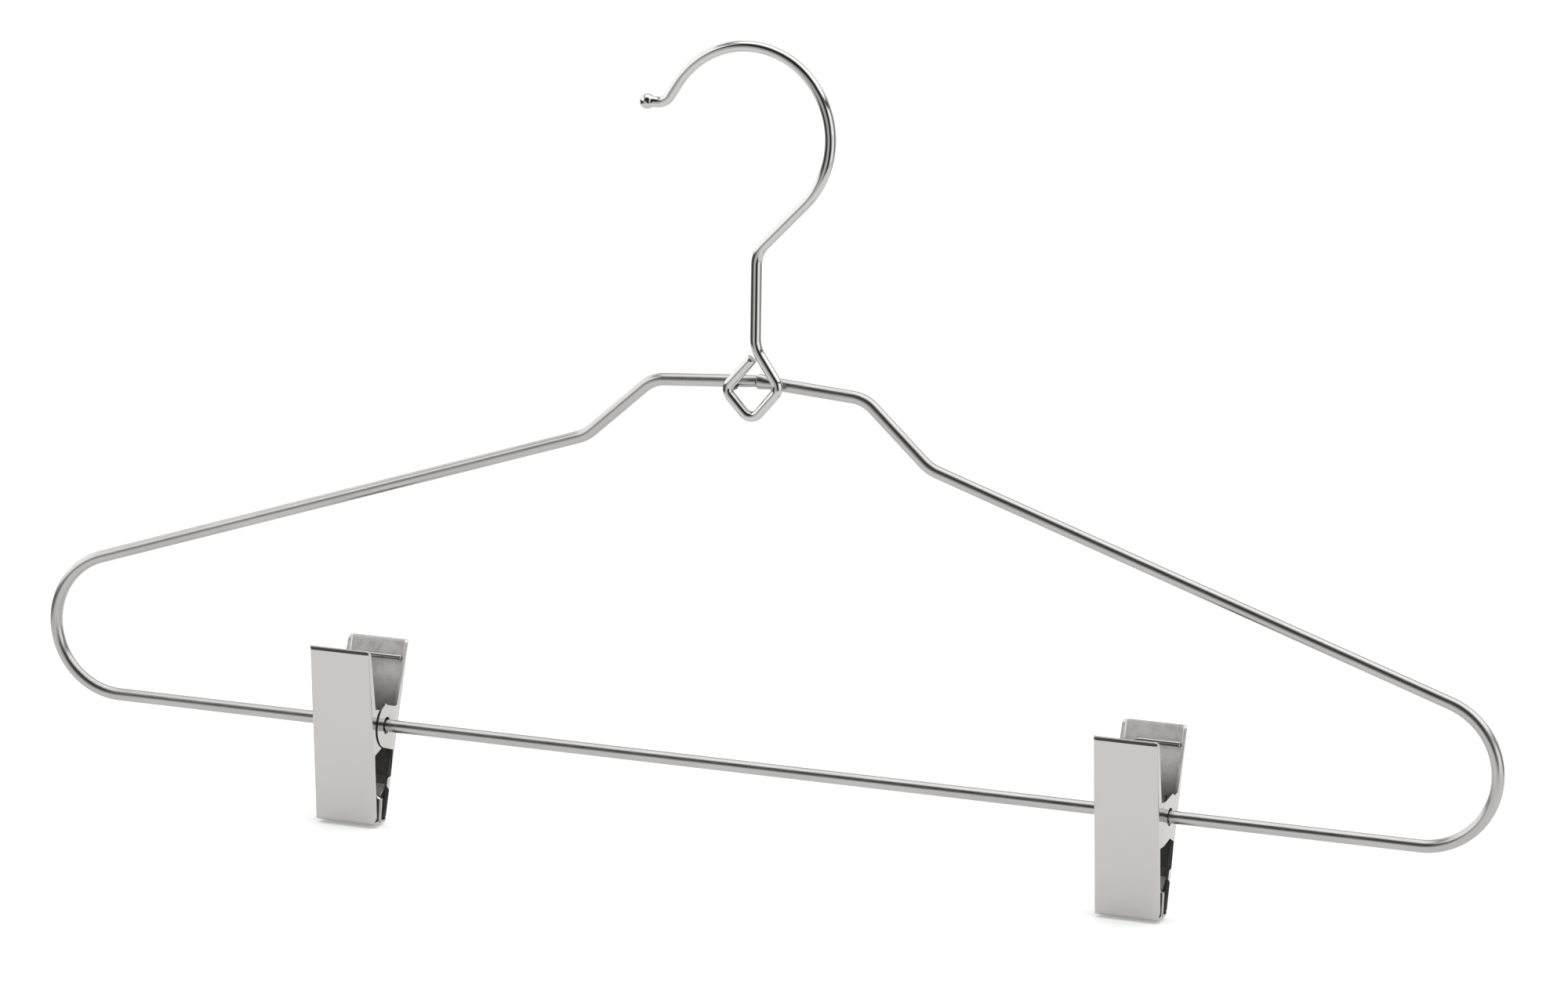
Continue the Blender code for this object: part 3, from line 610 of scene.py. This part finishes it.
def fill_runs(points, spacing, closed=False):
    """The same path with more points on its long runs, interpolated at every multiple of a spacing."""
    if closed:
        points = np.vstack([points, points[:1]])
    along = np.concatenate([[0.0], np.cumsum(np.linalg.norm(np.diff(points, axis=0), axis=1))])
    extra = np.arange(spacing, along[-1], spacing)
    nearest = np.abs(extra[:, None] - along[None, :]).min(axis=1)
    stations = np.sort(np.concatenate([along, extra[nearest > spacing / 6]]))
    filled = np.stack([np.interp(stations, along, points[:, k]) for k in range(points.shape[1])], axis=1)
    return filled[:-1] if closed else filled


print("path helpers ready")

# %% The swept surface
WIRE_SIDES = 40
SHARP_BEND = math.radians(50)


def runs_of(points, closed):
    """Unit direction of a path at each point: the mean of the directions in and out."""
    steps = np.roll(points, -1, axis=0) - points
    steps = steps / np.maximum(np.linalg.norm(steps, axis=1, keepdims=True), 1e-12)
    before = np.roll(steps, 1, axis=0)
    if not closed:
        before[0] = steps[0]
        steps[-1] = before[-1]
    run = steps + before
    return run / np.linalg.norm(run, axis=1, keepdims=True)


def wire_piece(name, points, radii, lay, material, closed=False, sides=WIRE_SIDES, run=None):
    """A circle carried along a path: point + radius * (cos turn * lay + sin turn * rise), rise = run x lay.

    lay is a unit vector square to the path at each point. The map wire_mm holds millimetres along and
    around.
    """
    count = len(points)
    run = runs_of(points, closed) if run is None else run
    lay = lay - run * np.sum(lay * run, axis=1, keepdims=True)
    lay = lay / np.linalg.norm(lay, axis=1, keepdims=True)
    rise = np.cross(run, lay)
    turn = np.arange(sides) * 2 * math.pi / sides
    ring = np.cos(turn)[None, :, None] * lay[:, None, :] + np.sin(turn)[None, :, None] * rise[:, None, :]
    grid = points[:, None, :] + radii[:, None, None] * ring
    rows = np.arange(count if closed else count - 1)
    i, k = np.meshgrid(rows, np.arange(sides), indexing="ij")
    j = (i + 1) % count
    m = (k + 1) % sides
    quads = np.stack([i * sides + k, i * sides + m, j * sides + m, j * sides + k], axis=-1).reshape(-1, 4)
    caps = [] if closed else [list(range(sides))[::-1], [(count - 1) * sides + s for s in range(sides)]]
    mesh = bpy.data.meshes.new(name)
    mesh.from_pydata(grid.reshape(-1, 3).tolist(), [], quads.tolist() + caps)
    steps = np.linalg.norm(np.roll(points, -1, axis=0) - points, axis=1)
    along = np.concatenate([[0.0], np.cumsum(steps)])
    around = 2 * math.pi * float(np.median(radii)) / sides
    corner_u = np.stack([along[i], along[i], along[i + 1], along[i + 1]], axis=-1).reshape(-1)
    corner_v = np.stack([k, k + 1, k + 1, k], axis=-1).reshape(-1) * around
    flat = np.zeros((len(mesh.loops), 2))
    flat[:len(corner_u)] = np.stack([corner_u, corner_v], axis=1) * 1000
    mesh.uv_layers.new(name="wire_mm").data.foreach_set("uv", flat.ravel())
    mesh.shade_smooth()
    mesh.set_sharp_from_angle(angle=SHARP_BEND)
    mesh.materials.append(material)
    piece = bpy.data.objects.new(name, mesh)
    scene.collection.objects.link(piece)
    print(name, len(mesh.vertices), "points,", round(along[count - 1] * 1000, 1), "mm long")
    return piece


def flat_lay(count):
    """The lay of a wire that is bent in a flat plane facing the front: always across that plane."""
    return np.tile(np.array([0.0, -1.0, 0.0]), (count, 1))


print("sweep ready")

# %% [markdown]
# ## The frame wire
#
# The frame is one length of 3.5 mm wire. It is bent at six corners and its two ends are butt welded at the
# top, where the squeezed metal leaves a low collar. The corner places come from the slope of the shoulders
# and the width, as in the solid model, and the bends here are divided finely so that the long reflections
# flow round them.

# %% Frame wire
FRAME_WIDTH = 0.4200
FRAME_WIRE = 0.0035
HOOK_WIRE = 0.0030
WIRE_GAP = 0.0003
END_RADIUS = 0.0200
SHOULDER_SLOPE = math.radians(18.4)
NECK_HALF = 0.0493
CREST_HALF = 0.0304
CREST_RISE = 0.1045
PEAK_RISE = 0.1066
NECK_RADIUS = 0.0115
CREST_RADIUS = 0.0100
UPSET = 0.00040
UPSET_RUN = 0.0026
NECKING = -0.35
GROOVE = 0.00050
GROOVE_PLACE = -0.00016
GROOVE_HALF = 0.00016
WELD_REACH = 0.0060
WELD_MARGIN = 0.0002
WELD_POINTS = 97
WELD_BUNCHING = 1.6
HEAT_LEVEL = 0.75
HEAT_RUN = 0.0034
GROOVE_HEAT = 0.6
HEAT_LIMIT = 1.15
FRAME_STEP = 0.0030
FRAME_PLACE = np.array([0.0043, FRAME_WIRE / 2 + HOOK_WIRE / 2 + WIRE_GAP, -0.1956])


def frame_path():
    """The frame's middle line, from the weld, clockwise as seen from the front."""
    corner_run = END_RADIUS * math.tan((math.pi - SHOULDER_SLOPE) / 2)
    end_x = FRAME_WIDTH / 2 - FRAME_WIRE / 2 - END_RADIUS + corner_run
    neck_rise = (end_x - NECK_HALF) * math.tan(SHOULDER_SLOPE)
    right = np.array([[CREST_HALF, 0, CREST_RISE], [NECK_HALF, 0, neck_rise], [end_x, 0, 0]])
    left = right[::-1] * np.array([-1, 1, 1])
    top = np.array([[0.0, 0.0, PEAK_RISE]])
    radii = [CREST_RADIUS, NECK_RADIUS, END_RADIUS]
    path = bent_path(np.vstack([top, right, left]), [0.0] + radii + radii[::-1])
    return fill_runs(path, FRAME_STEP, closed=True)


def weld_zone():
    """The line at the weld from left to right, bunched towards the middle as a power of an even share."""
    share = np.linspace(-1.0, 1.0, WELD_POINTS)
    across = WELD_REACH * np.sign(share) * np.abs(share) ** WELD_BUNCHING
    rise = PEAK_RISE - np.abs(across) * (PEAK_RISE - CREST_RISE) / CREST_HALF
    return np.stack([across, np.zeros(len(across)), rise], axis=1)


def upset(points):
    """Extra radius at the weld: the right end is squeezed wide, the left thins, and a groove parts them."""
    across = points[:, 0]
    top = points[:, 2] > CREST_RISE
    wide = np.exp(-(across / UPSET_RUN) ** 2) * np.where(across > 0, 1.0, NECKING)
    return top * (UPSET * wide - GROOVE * np.exp(-((across - GROOVE_PLACE) / GROOVE_HALF) ** 2))


def weld_heat(points):
    """Heat tint at the weld: a wide bell round the seam plus a narrow one in its groove, up to a limit."""
    across = points[:, 0]
    wide = HEAT_LEVEL * np.exp(-(across / HEAT_RUN) ** 2)
    narrow = GROOVE_HEAT * np.exp(-((across - GROOVE_PLACE) / (1.5 * GROOVE_HALF)) ** 2)
    return (points[:, 2] > CREST_RISE) * np.minimum(wide + narrow, HEAT_LIMIT)


def paint(piece, label, shares):
    """A number at each point of a piece, which its material reads by name."""
    piece.data.attributes.new(label, "FLOAT", "POINT").data.foreach_set("value", shares)


line = frame_path()
seam = weld_zone()
middle = len(seam) // 2
elsewhere = (np.abs(line[:, 0]) > WELD_REACH + WELD_MARGIN) | (line[:, 2] < CREST_RISE)
line = np.vstack([seam[middle:], line[elsewhere], seam[:middle]])
frame_wire = wire_piece("frame_wire_drawn", line + FRAME_PLACE, FRAME_WIRE / 2 + upset(line),
                        flat_lay(len(line)), satin_nickel, closed=True)
paint(frame_wire, "heat", np.repeat(weld_heat(line), WIRE_SIDES))
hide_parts("frame_wire")
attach(frame_wire, "hanger")

# %% [markdown]
# ## The hook
#
# The hook is 3 mm wire, chromed. From its cut end it makes a square eye in front of the frame's top, rises
# in a short stem, swings out and over in a bow that is part of an ellipse, and ends in a small ball, so
# that it does not scratch the rail. The ball is the same swept circle with its radius following half a
# circle.

# %% The hook's path
BOW_HALF_WIDTH = 0.0237
BOW_HALF_HEIGHT = 0.0243
BOW_FIRST = math.radians(-44.0)
BOW_LAST = math.radians(148.0)
STEM_X = 0.0039
EYE_Z = FRAME_PLACE[2] + PEAK_RISE - 0.0016
EYE_HALF = 0.0079
EYE_DROP = 0.0089
EYE_RISE = 0.0112
EYE_TILT = 0.0007
EYE_END_RISE = 0.0083
EYE_END_LEAN = 0.0009
EYE_RADIUS = 0.0028
STEM_RADIUS = 0.0090
STEM_LEAN = 0.0005
BEND_RADIUS = 0.0080
TIP_DROP = 0.0153
TIP_RUN = 0.0052
TIP_RADIUS = 0.0042
BOW_POINTS = 90
HOOK_STEP = 0.0012


def in_plane(pairs):
    """Pairs of X and Z as points in the hook's plane."""
    pairs = np.array(pairs, float)
    return np.stack([pairs[:, 0], np.zeros(len(pairs)), pairs[:, 1]], axis=1)


def hook_path():
    """The hook's middle line: square eye, stem, elliptic bow and the short run to the ball."""
    bow_z = HOOK_WIRE / 2 - BOW_HALF_HEIGHT
    left = np.array([STEM_X - EYE_HALF, EYE_Z - EYE_TILT])
    right = np.array([STEM_X + EYE_HALF, EYE_Z + EYE_TILT])
    bottom = np.array([STEM_X, EYE_Z - EYE_DROP])
    foot = np.array([STEM_X + STEM_LEAN, EYE_Z + EYE_RISE])
    side_run = np.array([EYE_HALF, EYE_RISE - EYE_TILT])
    cut_end = left + side_run * (EYE_END_RISE + EYE_TILT) / side_run[1] + np.array([EYE_END_LEAN, 0.0])
    turns = np.linspace(BOW_FIRST, BOW_LAST, BOW_POINTS)
    bow = np.stack([BOW_HALF_WIDTH * np.cos(turns), bow_z + BOW_HALF_HEIGHT * np.sin(turns)], axis=1)
    slope = -BOW_HALF_HEIGHT * math.cos(BOW_FIRST) / (BOW_HALF_WIDTH * math.sin(BOW_FIRST))
    elbow = np.array([STEM_X, bow[0, 1] - (bow[0, 0] - STEM_X) * slope])
    lower = bent_path(in_plane([cut_end, left, bottom, right, foot, elbow, bow[0]]),
                      [0.0, EYE_RADIUS, EYE_RADIUS, EYE_RADIUS, STEM_RADIUS, BEND_RADIUS, 0.0])
    leaving = np.array([-BOW_HALF_WIDTH * math.sin(BOW_LAST), BOW_HALF_HEIGHT * math.cos(BOW_LAST)])
    tip_corner = bow[-1] - leaving * (bow[-1, 1] + TIP_DROP) / leaving[1]
    ball = tip_corner + np.array([-TIP_RUN, 0.0])
    tip = bent_path(in_plane([bow[-1], tip_corner, ball]), [0.0, TIP_RADIUS, 0.0])
    return fill_runs(np.vstack([lower[:-1], in_plane(bow), tip[1:]]), HOOK_STEP)


print("hook path of", len(hook_path()), "points")

# %% Hook
BALL = 0.0042
BALL_RINGS = 26
BALL_LAST = math.radians(176.0)
NECK_CLEARANCE = 0.0001
CUT_SHARES = np.array([0.25, 0.80, 0.93, 0.985])
CUT_BACK = np.array([0.0, 0.0, 0.00006, 0.00018])


def hook_rings(path):
    """Points, radii and directions of the hook's rings: a chamfered cut end, the wire, and the ball.

    The ball's rings stand at ball middle + cos turn * half ball, with a radius of sin turn * half ball.
    """
    middle = path[-1]
    first = math.asin(HOOK_WIRE / BALL)
    turns = np.linspace(first, BALL_LAST, BALL_RINGS)
    ball = middle + np.outer(np.cos(turns), [BALL / 2, 0.0, 0.0])
    wire = path[np.linalg.norm(path - middle, axis=1) > BALL / 2 * math.cos(first) + NECK_CLEARANCE]
    cut_run = (wire[1] - wire[0]) / np.linalg.norm(wire[1] - wire[0])
    cut = wire[0] + CUT_BACK[:, None] * cut_run
    points = np.vstack([cut, wire[1:], ball])
    radii = np.full(len(points), HOOK_WIRE / 2)
    radii[:len(cut)] *= CUT_SHARES
    radii[-BALL_RINGS:] = np.sin(turns) * BALL / 2
    run = runs_of(points, closed=False)
    run[:len(cut)] = cut_run
    run[-BALL_RINGS - 1:] = np.array([-1.0, 0.0, 0.0])
    return points, radii, run


line, radii, run = hook_rings(hook_path())
hook = wire_piece("hook_chromed", line, radii, flat_lay(len(line)), bright_chrome, run=run)
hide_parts("hook")
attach(hook, "hanger")

# %% [markdown]
# ## The spot welds
#
# Where the eye crosses the frame wire, the two were pressed together and melted. A little metal squeezed
# out round each crossing and scaled dark, and its dark also serves as painted shade where the wires touch.
# Each nugget is a ball of two angles whose radius swells and dips with a few sines, flattened between the
# two wires.

# %% Spot welds
NUGGET_SPOKES = 40
NUGGET_ROWS = 19
NUGGET_POLE = 1.45
NUGGET_SET = 0.0001
# Each nugget is its X and Z from the eye's middle, its half sizes, and the phase of its ripples
NUGGETS = {
    "left": (0.0019 - EYE_HALF, -0.0003, (0.0012, 0.0010, 0.0008), 0.6),
    "right": (EYE_HALF - 0.0006, 0.0013, (0.0015, 0.0010, 0.0012), 2.1),
}


def nugget(name, place, half, phase):
    """A lump: (cos u cos v, sin v, sin u cos v) times 1 + two sine ripples, scaled along each axis."""
    around = np.arange(NUGGET_SPOKES) * 2 * math.pi / NUGGET_SPOKES
    u, v = np.meshgrid(around, np.linspace(-NUGGET_POLE, NUGGET_POLE, NUGGET_ROWS), indexing="ij")
    ripple = 1 + 0.13 * np.sin(3 * u + phase) * np.cos(2 * v) + 0.07 * np.sin(7 * u - 2 * phase) * np.cos(v)
    grid = np.stack([np.cos(u) * np.cos(v), np.sin(v), np.sin(u) * np.cos(v)], axis=-1) * ripple[..., None]
    points = (grid * np.array(half) + place).reshape(-1, 3)
    i, k = np.meshgrid(np.arange(NUGGET_SPOKES), np.arange(NUGGET_ROWS - 1), indexing="ij")
    here = i * NUGGET_ROWS + k
    beside = (i + 1) % NUGGET_SPOKES * NUGGET_ROWS + k
    quads = np.stack([here, here + 1, beside + 1, beside], axis=-1).reshape(-1, 4)
    front_pole = np.arange(NUGGET_SPOKES) * NUGGET_ROWS
    caps = [front_pole.tolist(), (front_pole + NUGGET_ROWS - 1)[::-1].tolist()]
    mesh = bpy.data.meshes.new(name)
    mesh.from_pydata(points.tolist(), [], quads.tolist() + caps)
    mesh.shade_smooth()
    mesh.materials.append(weld_scale_and_shade)
    piece = bpy.data.objects.new(name, mesh)
    scene.collection.objects.link(piece)
    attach(piece, "hanger")
    return piece


for side, (x, z, half, phase) in NUGGETS.items():
    place = np.array([STEM_X + x, FRAME_PLACE[1] / 2 - NUGGET_SET, EYE_Z + z])
    print(nugget(f"spot_weld_{side}", place, half, phase).name, "at", np.round(place * 1000, 1))

# %% [markdown]
# ## Where the clips hang
#
# A clip is worked out upright, with the bar's middle at nought, and then put in its place: each clip has
# slid to its own spot on the bar and swung a few degrees about it. One small matrix for each clip does the
# turn, and its transpose undoes it, so faces of the finished solid can be measured in the clip's own
# upright frame.

# %% Clip places
# Each clip's X on the bar and its swing about the bar
CLIP_SETS = {"left": (-0.1114, math.radians(-4.2)), "right": (0.1151, math.radians(-2.4))}


def clip_middle(side):
    """The point on the bar's middle line where a clip hangs."""
    return np.array([CLIP_SETS[side][0], *FRAME_PLACE[1:]])


def clip_turn(side):
    """The matrix that turns rows of upright points by a clip's swing about the bar."""
    cos = math.cos(CLIP_SETS[side][1])
    sin = math.sin(CLIP_SETS[side][1])
    return np.array([[1.0, 0.0, 0.0], [0.0, cos, sin], [0.0, -sin, cos]])


for side in CLIP_SETS:
    print(side, "clip at", np.round(clip_middle(side) * 1000, 1))

# %% [markdown]
# ## The clip springs
#
# Each clip has one torsion spring round the bar: five turns and a bit, with a leg to each handle and a
# short foot across its inside. The whole spring is turned with its clip's swing about the bar.

# %% The spring's path
SHEET = 0.0007
HANDLE_HEIGHT = 0.0224
HANDLE_SPREAD = 0.0286
GRIP_DEPTH = 0.0277
GRIP_SPREAD = 0.0088
JAW_LEAN = math.atan2((HANDLE_SPREAD - GRIP_SPREAD) / 2, HANDLE_HEIGHT + GRIP_DEPTH)
SPRING_WIRE = 0.0015
SPRING_TURNS = 5
SPRING_PITCH = 0.0020
COIL_PLAY = 0.00035
COIL_RADIUS = FRAME_WIRE / 2 + COIL_PLAY + SPRING_WIRE / 2
COIL_POINTS = 260
FOOT_HEIGHT = 0.0175
FOOT_END = 0.0079
FOOT_RADIUS = 0.0020
FOOT_TURN = math.radians(6.0)
FOOT_GAP = 0.0003
SPRING_STEP = 0.0008


def face_reach(height):
    """How far a jaw's outer face stands from the clip's middle at a height over the bar."""
    return HANDLE_SPREAD / 2 - (HANDLE_HEIGHT - height) * math.tan(JAW_LEAN)


def spring_path():
    """Foot, leg, helix, leg and foot. On the helix x is pitch * turn, and y and z circle the bar."""
    reach = face_reach(FOOT_HEIGHT) - (SHEET + SPRING_WIRE / 2) / math.cos(JAW_LEAN) - FOOT_GAP
    leave = math.atan2(FOOT_HEIGHT, reach) - math.acos(COIL_RADIUS / math.hypot(reach, FOOT_HEIGHT))
    wound = 2 * math.pi * SPRING_TURNS + math.pi + 2 * leave
    half = SPRING_PITCH * wound / (4 * math.pi)
    share = np.linspace(0.0, 1.0, COIL_POINTS)
    angle = math.pi - leave + share * wound
    across = half - 2 * half * share
    coil = np.stack([across, COIL_RADIUS * np.cos(angle), COIL_RADIUS * np.sin(angle)], axis=1)
    front_end = np.array([-FOOT_END, -reach, FOOT_HEIGHT])
    front_heel = np.array([half, -reach, FOOT_HEIGHT])
    mirror = np.array([-1.0, -1.0, 1.0])
    radii = [0.0, FOOT_RADIUS, 0.0]
    front = bent_path([front_end, front_heel, coil[0]], radii, FOOT_TURN)
    rear = bent_path([coil[-1], front_heel * mirror, front_end * mirror], radii, FOOT_TURN)
    return fill_runs(np.vstack([front[:-1], coil, rear[1:]]), SPRING_STEP)


print("spring path of", len(spring_path()), "points")

# %% Springs
SPRING_SIDES = 20
END_SHARES = np.array([0.30, 0.80, 0.95])
END_BACK = np.array([0.0, 0.0, 0.00008])
FOOT_DARK = 0.0016
FOOT_DARKENING = 1.8


def spring_lay(run):
    """Square to the wire in the plane across the bar. A foot runs along the bar and uses its leg's side."""
    flat = run * np.array([0.0, 1.0, 1.0])
    size = np.linalg.norm(flat, axis=1)
    leg = np.flatnonzero(size > 0.2)
    nearest = leg[np.abs(np.arange(len(run))[:, None] - leg[None, :]).argmin(axis=1)]
    flat = flat[nearest] / size[nearest][:, None]
    return np.cross(np.array([1.0, 0.0, 0.0]), flat)


def clip_spring(side):
    """One clip's spring, chamfered at its two cut ends and turned with its clip's swing about the bar."""
    path = spring_path()
    run = runs_of(path, closed=False)
    back = END_BACK[:, None]
    rings = len(END_SHARES)
    path = np.vstack([path[0] + back * run[0], path[1:-1], path[-1] - back[::-1] * run[-1]])
    run = np.vstack([np.repeat(run[:1], rings, axis=0), run[1:-1], np.repeat(run[-1:], rings, axis=0)])
    radii = np.full(len(path), SPRING_WIRE / 2)
    radii[:rings] *= END_SHARES
    radii[-rings:] *= END_SHARES[::-1]
    middle = clip_middle(side)
    turn = clip_turn(side)
    lay = spring_lay(run) @ turn
    spring = wire_piece(f"spring_{side}_wound", path @ turn + middle, radii, lay, spring_steel,
                        sides=SPRING_SIDES, run=run @ turn)
    # The wire is darker within FOOT_DARK of each cut end.
    from_end = np.minimum(np.linalg.norm(path - path[0], axis=1), np.linalg.norm(path - path[-1], axis=1))
    paint(spring, "heat", np.repeat(np.where(from_end < FOOT_DARK, FOOT_DARKENING, 0.0), SPRING_SIDES))
    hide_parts(f"spring_{side}")
    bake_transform(spring)
    return spring


for side in CLIP_SETS:
    clip_spring(side)

# %% [markdown]
# ## The clip jaws
#
# The stamped jaws have the right shape in the solid model already: folds, stepped ears, bores and folded
# grips. What they lack is the way stamped sheet catches light. They could be drawn again as new surfaces,
# but every fold and bore would have to be matched, so each jaw's own mesh is copied and finished instead.
# Its loose triangles are merged, and flat ones are joined into whole faces.
#
# Polish differs from face to face, and some faces carry painted shade, so two numbers are kept on each face
# for the finish to read. One says that a face looks inward, where no polishing wheel reached. The other says
# how much painted dark it carries: painted shade and painted dark reflections.

# %% Inward faces and painted dark
EAR_RADIUS = 0.0062
RIM_BAND = 0.0004
FLARE_HEIGHT = 0.0013
FLARE_TILT = -0.30
ROUNDING_DEPTH = 0.00012
# Inward faces below this depth get painted shade, at a lower share on the grip.
DEEP = -0.0050
DEEP_SHARE = 0.88
GRIP_SHARE = 0.45
GRIP_INSET = 0.0010
FLANGE_SKIN = 1.1 * SHEET


def face_shares(mesh, side, hand):
    """Two arrays from nought to one: which faces look inward, and how much painted dark each face carries.

    Places and normals are first turned into the clip's own frame. A face looks inward where its normal
    points back towards the bar's plane, where it is a flange's inside, or where it belongs to the folded
    grip. Painted dark are the round ear's rim, partly as painted shade of the gap between the ears; the inner
    rounding of the handle's top and the underside of its flare, as painted dark reflections; and, in part,
    inward faces below the bar, as painted shade.
    """
    count = len(mesh.polygons)
    normals = np.zeros(count * 3)
    centres = np.zeros(count * 3)
    mesh.polygons.foreach_get("normal", normals)
    mesh.polygons.foreach_get("center", centres)
    upright = clip_turn(side).T
    normals = normals.reshape(-1, 3) @ upright
    centres = (centres.reshape(-1, 3) - clip_middle(side)) @ upright
    depth = hand * centres[:, 1]
    facing = hand * normals[:, 1]
    sideways = np.abs(centres[:, 0])
    below = centres[:, 2] < DEEP
    inner_face = facing < -0.5
    inner_flange = (np.abs(normals[:, 0]) > 0.8) & (normals[:, 0] * centres[:, 0] < 0)
    between_flanges = sideways < sideways.max() - FLANGE_SKIN
    grip = below & (depth < face_reach(centres[:, 2]) - GRIP_INSET) & between_flanges
    inward = inner_face | inner_flange | grip
    away = np.hypot(centres[:, 1], centres[:, 2])
    outwards = (normals[:, 1] * centres[:, 1] + normals[:, 2] * centres[:, 2]) / np.maximum(away, 1e-9)
    # Painted dark: the ear's rim, partly painted shade of the gap between the ears; the flare's underside and
    # the inner rounding as painted dark reflections; inward faces below the bar as painted shade.
    rim = (np.abs(away - EAR_RADIUS) < RIM_BAND) & (outwards > 0.85)
    under_top = HANDLE_HEIGHT - centres[:, 2]
    flare = (under_top < FLARE_HEIGHT) & (facing > 0.5) & (normals[:, 2] < FLARE_TILT)
    inner_rounding = (under_top < ROUNDING_DEPTH) & (facing < 0.10) & (normals[:, 2] > 0.60)
    deep = np.where(grip & ~inner_flange, GRIP_SHARE, DEEP_SHARE) * (inward & below)
    painted_dark = np.where(rim | flare | inner_rounding, 1.0, deep)
    return inward.astype(float), painted_dark


# Below this depth inward faces carry painted shade.
print("inward faces turn bare", round(-DEEP * 1000, 1), "mm below the bar")

# %% [markdown]
# ## The rolled top of a handle
#
# The blanking die rolls the handle's top edge over: the outer edge by half a millimetre, the inner one much
# less. A bevel modifier has one width for the whole piece, so these two are cut with bevels of their own on
# picked edges.

# %% Rolled top
TOP_BAND = 0.0025
TOP_ROLL = 0.00050
INNER_ROLL = 0.00016
ROLL_STEPS = 5
FLAT_HALF = 0.0070


def top_edges(shell, side, hand, inner):
    """The outer edges along the top of the handle, round its corners, or the inner edge of its flat middle.

    Each lies between a face that looks up along the sheet and one that looks out, or in.
    """
    swing = CLIP_SETS[side][1]
    lean = hand * JAW_LEAN - swing
    along_sheet = Vector((0.0, math.sin(lean), math.cos(lean)))
    outward = Vector((0.0, hand * math.cos(lean), -hand * math.sin(lean)))
    top = FRAME_PLACE[2] + HANDLE_HEIGHT * math.cos(swing) - TOP_BAND
    picked = []
    for edge in shell.edges:
        if len(edge.link_faces) != 2 or min(v.co.z for v in edge.verts) < top:
            continue
        up = [face.normal.dot(along_sheet) > 0.8 for face in edge.link_faces]
        if up[0] == up[1]:
            continue
        other = edge.link_faces[1 if up[0] else 0].normal
        across = (edge.verts[0].co.x + edge.verts[1].co.x) / 2 - CLIP_SETS[side][0]
        from_middle = Vector((across, 0.0, 0.0)).normalized()
        outer_fold = other.dot(outward) > 0.25
        outer_flange = other.dot(outward) > -0.05 and other.dot(from_middle) > 0.25
        inner_flat = other.dot(outward) < -0.5 and abs(across) < FLAT_HALF
        wanted = inner_flat if inner else (outer_fold or outer_flange)
        if wanted:
            picked.append(edge)
    return picked


def roll_top(shell, side, hand):
    """Round both edges along the top of the handle, and count the edges that were picked on each."""
    counts = []
    for inner, radius in ((False, TOP_ROLL), (True, INNER_ROLL)):
        picked = top_edges(shell, side, hand, inner)
        counts.append(len(picked))
        bmesh.ops.bevel(shell, geom=picked, offset=radius, offset_type="OFFSET", segments=ROLL_STEPS,
                        profile=0.5, affect="EDGES", clamp_overlap=False)
    return counts


print("top rolled", TOP_ROLL * 1000, "mm outside and", INNER_ROLL * 1000, "mm inside")

# %% [markdown]
# ## The finished jaws
#
# Each copy is rolled at its top and cut through a little below the bar, so that what lies deeper has faces
# of its own to mark. A hairline bevel then rounds every sheared edge, and weighted normals keep the large
# faces flat, so that only the roundings bend what the metal mirrors.

# %% Jaws
MERGE_REACH = 0.000002
FLAT_ANGLE = math.radians(1.5)
CUT_REACH = 0.000001
EDGE_ROUND = 0.00009
SHARP_ANGLE = math.radians(40)
FACE_WEIGHT = 50


def finished_jaw(name, side, hand):
    """A copy of a jaw's solid with whole faces, a rolled top, marked faces, a bevel and flat normals."""
    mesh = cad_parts[name].data.copy()
    mesh.name = f"{name}_pressed"
    shell = bmesh.new()
    shell.from_mesh(mesh)
    bmesh.ops.remove_doubles(shell, verts=shell.verts, dist=MERGE_REACH)
    bmesh.ops.dissolve_limit(shell, angle_limit=FLAT_ANGLE, verts=shell.verts, edges=shell.edges)
    rolled = roll_top(shell, side, hand)
    up = Vector(clip_turn(side)[2])
    cut = Vector(clip_middle(side)) + up * DEEP
    bmesh.ops.bisect_plane(shell, geom=shell.verts[:] + shell.edges[:] + shell.faces[:], dist=CUT_REACH,
                           plane_co=cut, plane_no=up)
    shell.to_mesh(mesh)
    shell.free()
    mesh.materials.clear()
    mesh.materials.append(pressed_chrome)
    for label, share in zip(("inward", "painted_dark"), face_shares(mesh, side, hand)):
        mesh.attributes.new(label, "FLOAT", "FACE").data.foreach_set("value", share)
    mesh.shade_smooth()
    jaw = bpy.data.objects.new(mesh.name, mesh)
    scene.collection.objects.link(jaw)
    bevel = jaw.modifiers.new("sheared_edge", "BEVEL")
    bevel.width = EDGE_ROUND
    bevel.segments = 2
    bevel.limit_method = "ANGLE"
    bevel.angle_limit = SHARP_ANGLE
    weighted = jaw.modifiers.new("flat_faces_first", "WEIGHTED_NORMAL")
    weighted.mode = "FACE_AREA"
    weighted.weight = FACE_WEIGHT
    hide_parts(name)
    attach(jaw, f"{side}_{name.rsplit('_', 1)[0]}")
    print(jaw.name, rolled, "outer and inner edges rolled,", len(mesh.polygons), "faces before its bevel")
    return jaw


for side in CLIP_SETS:
    finished_jaw(f"front_jaw_{side}", side, -1)
    finished_jaw(f"rear_jaw_{side}", side, 1)
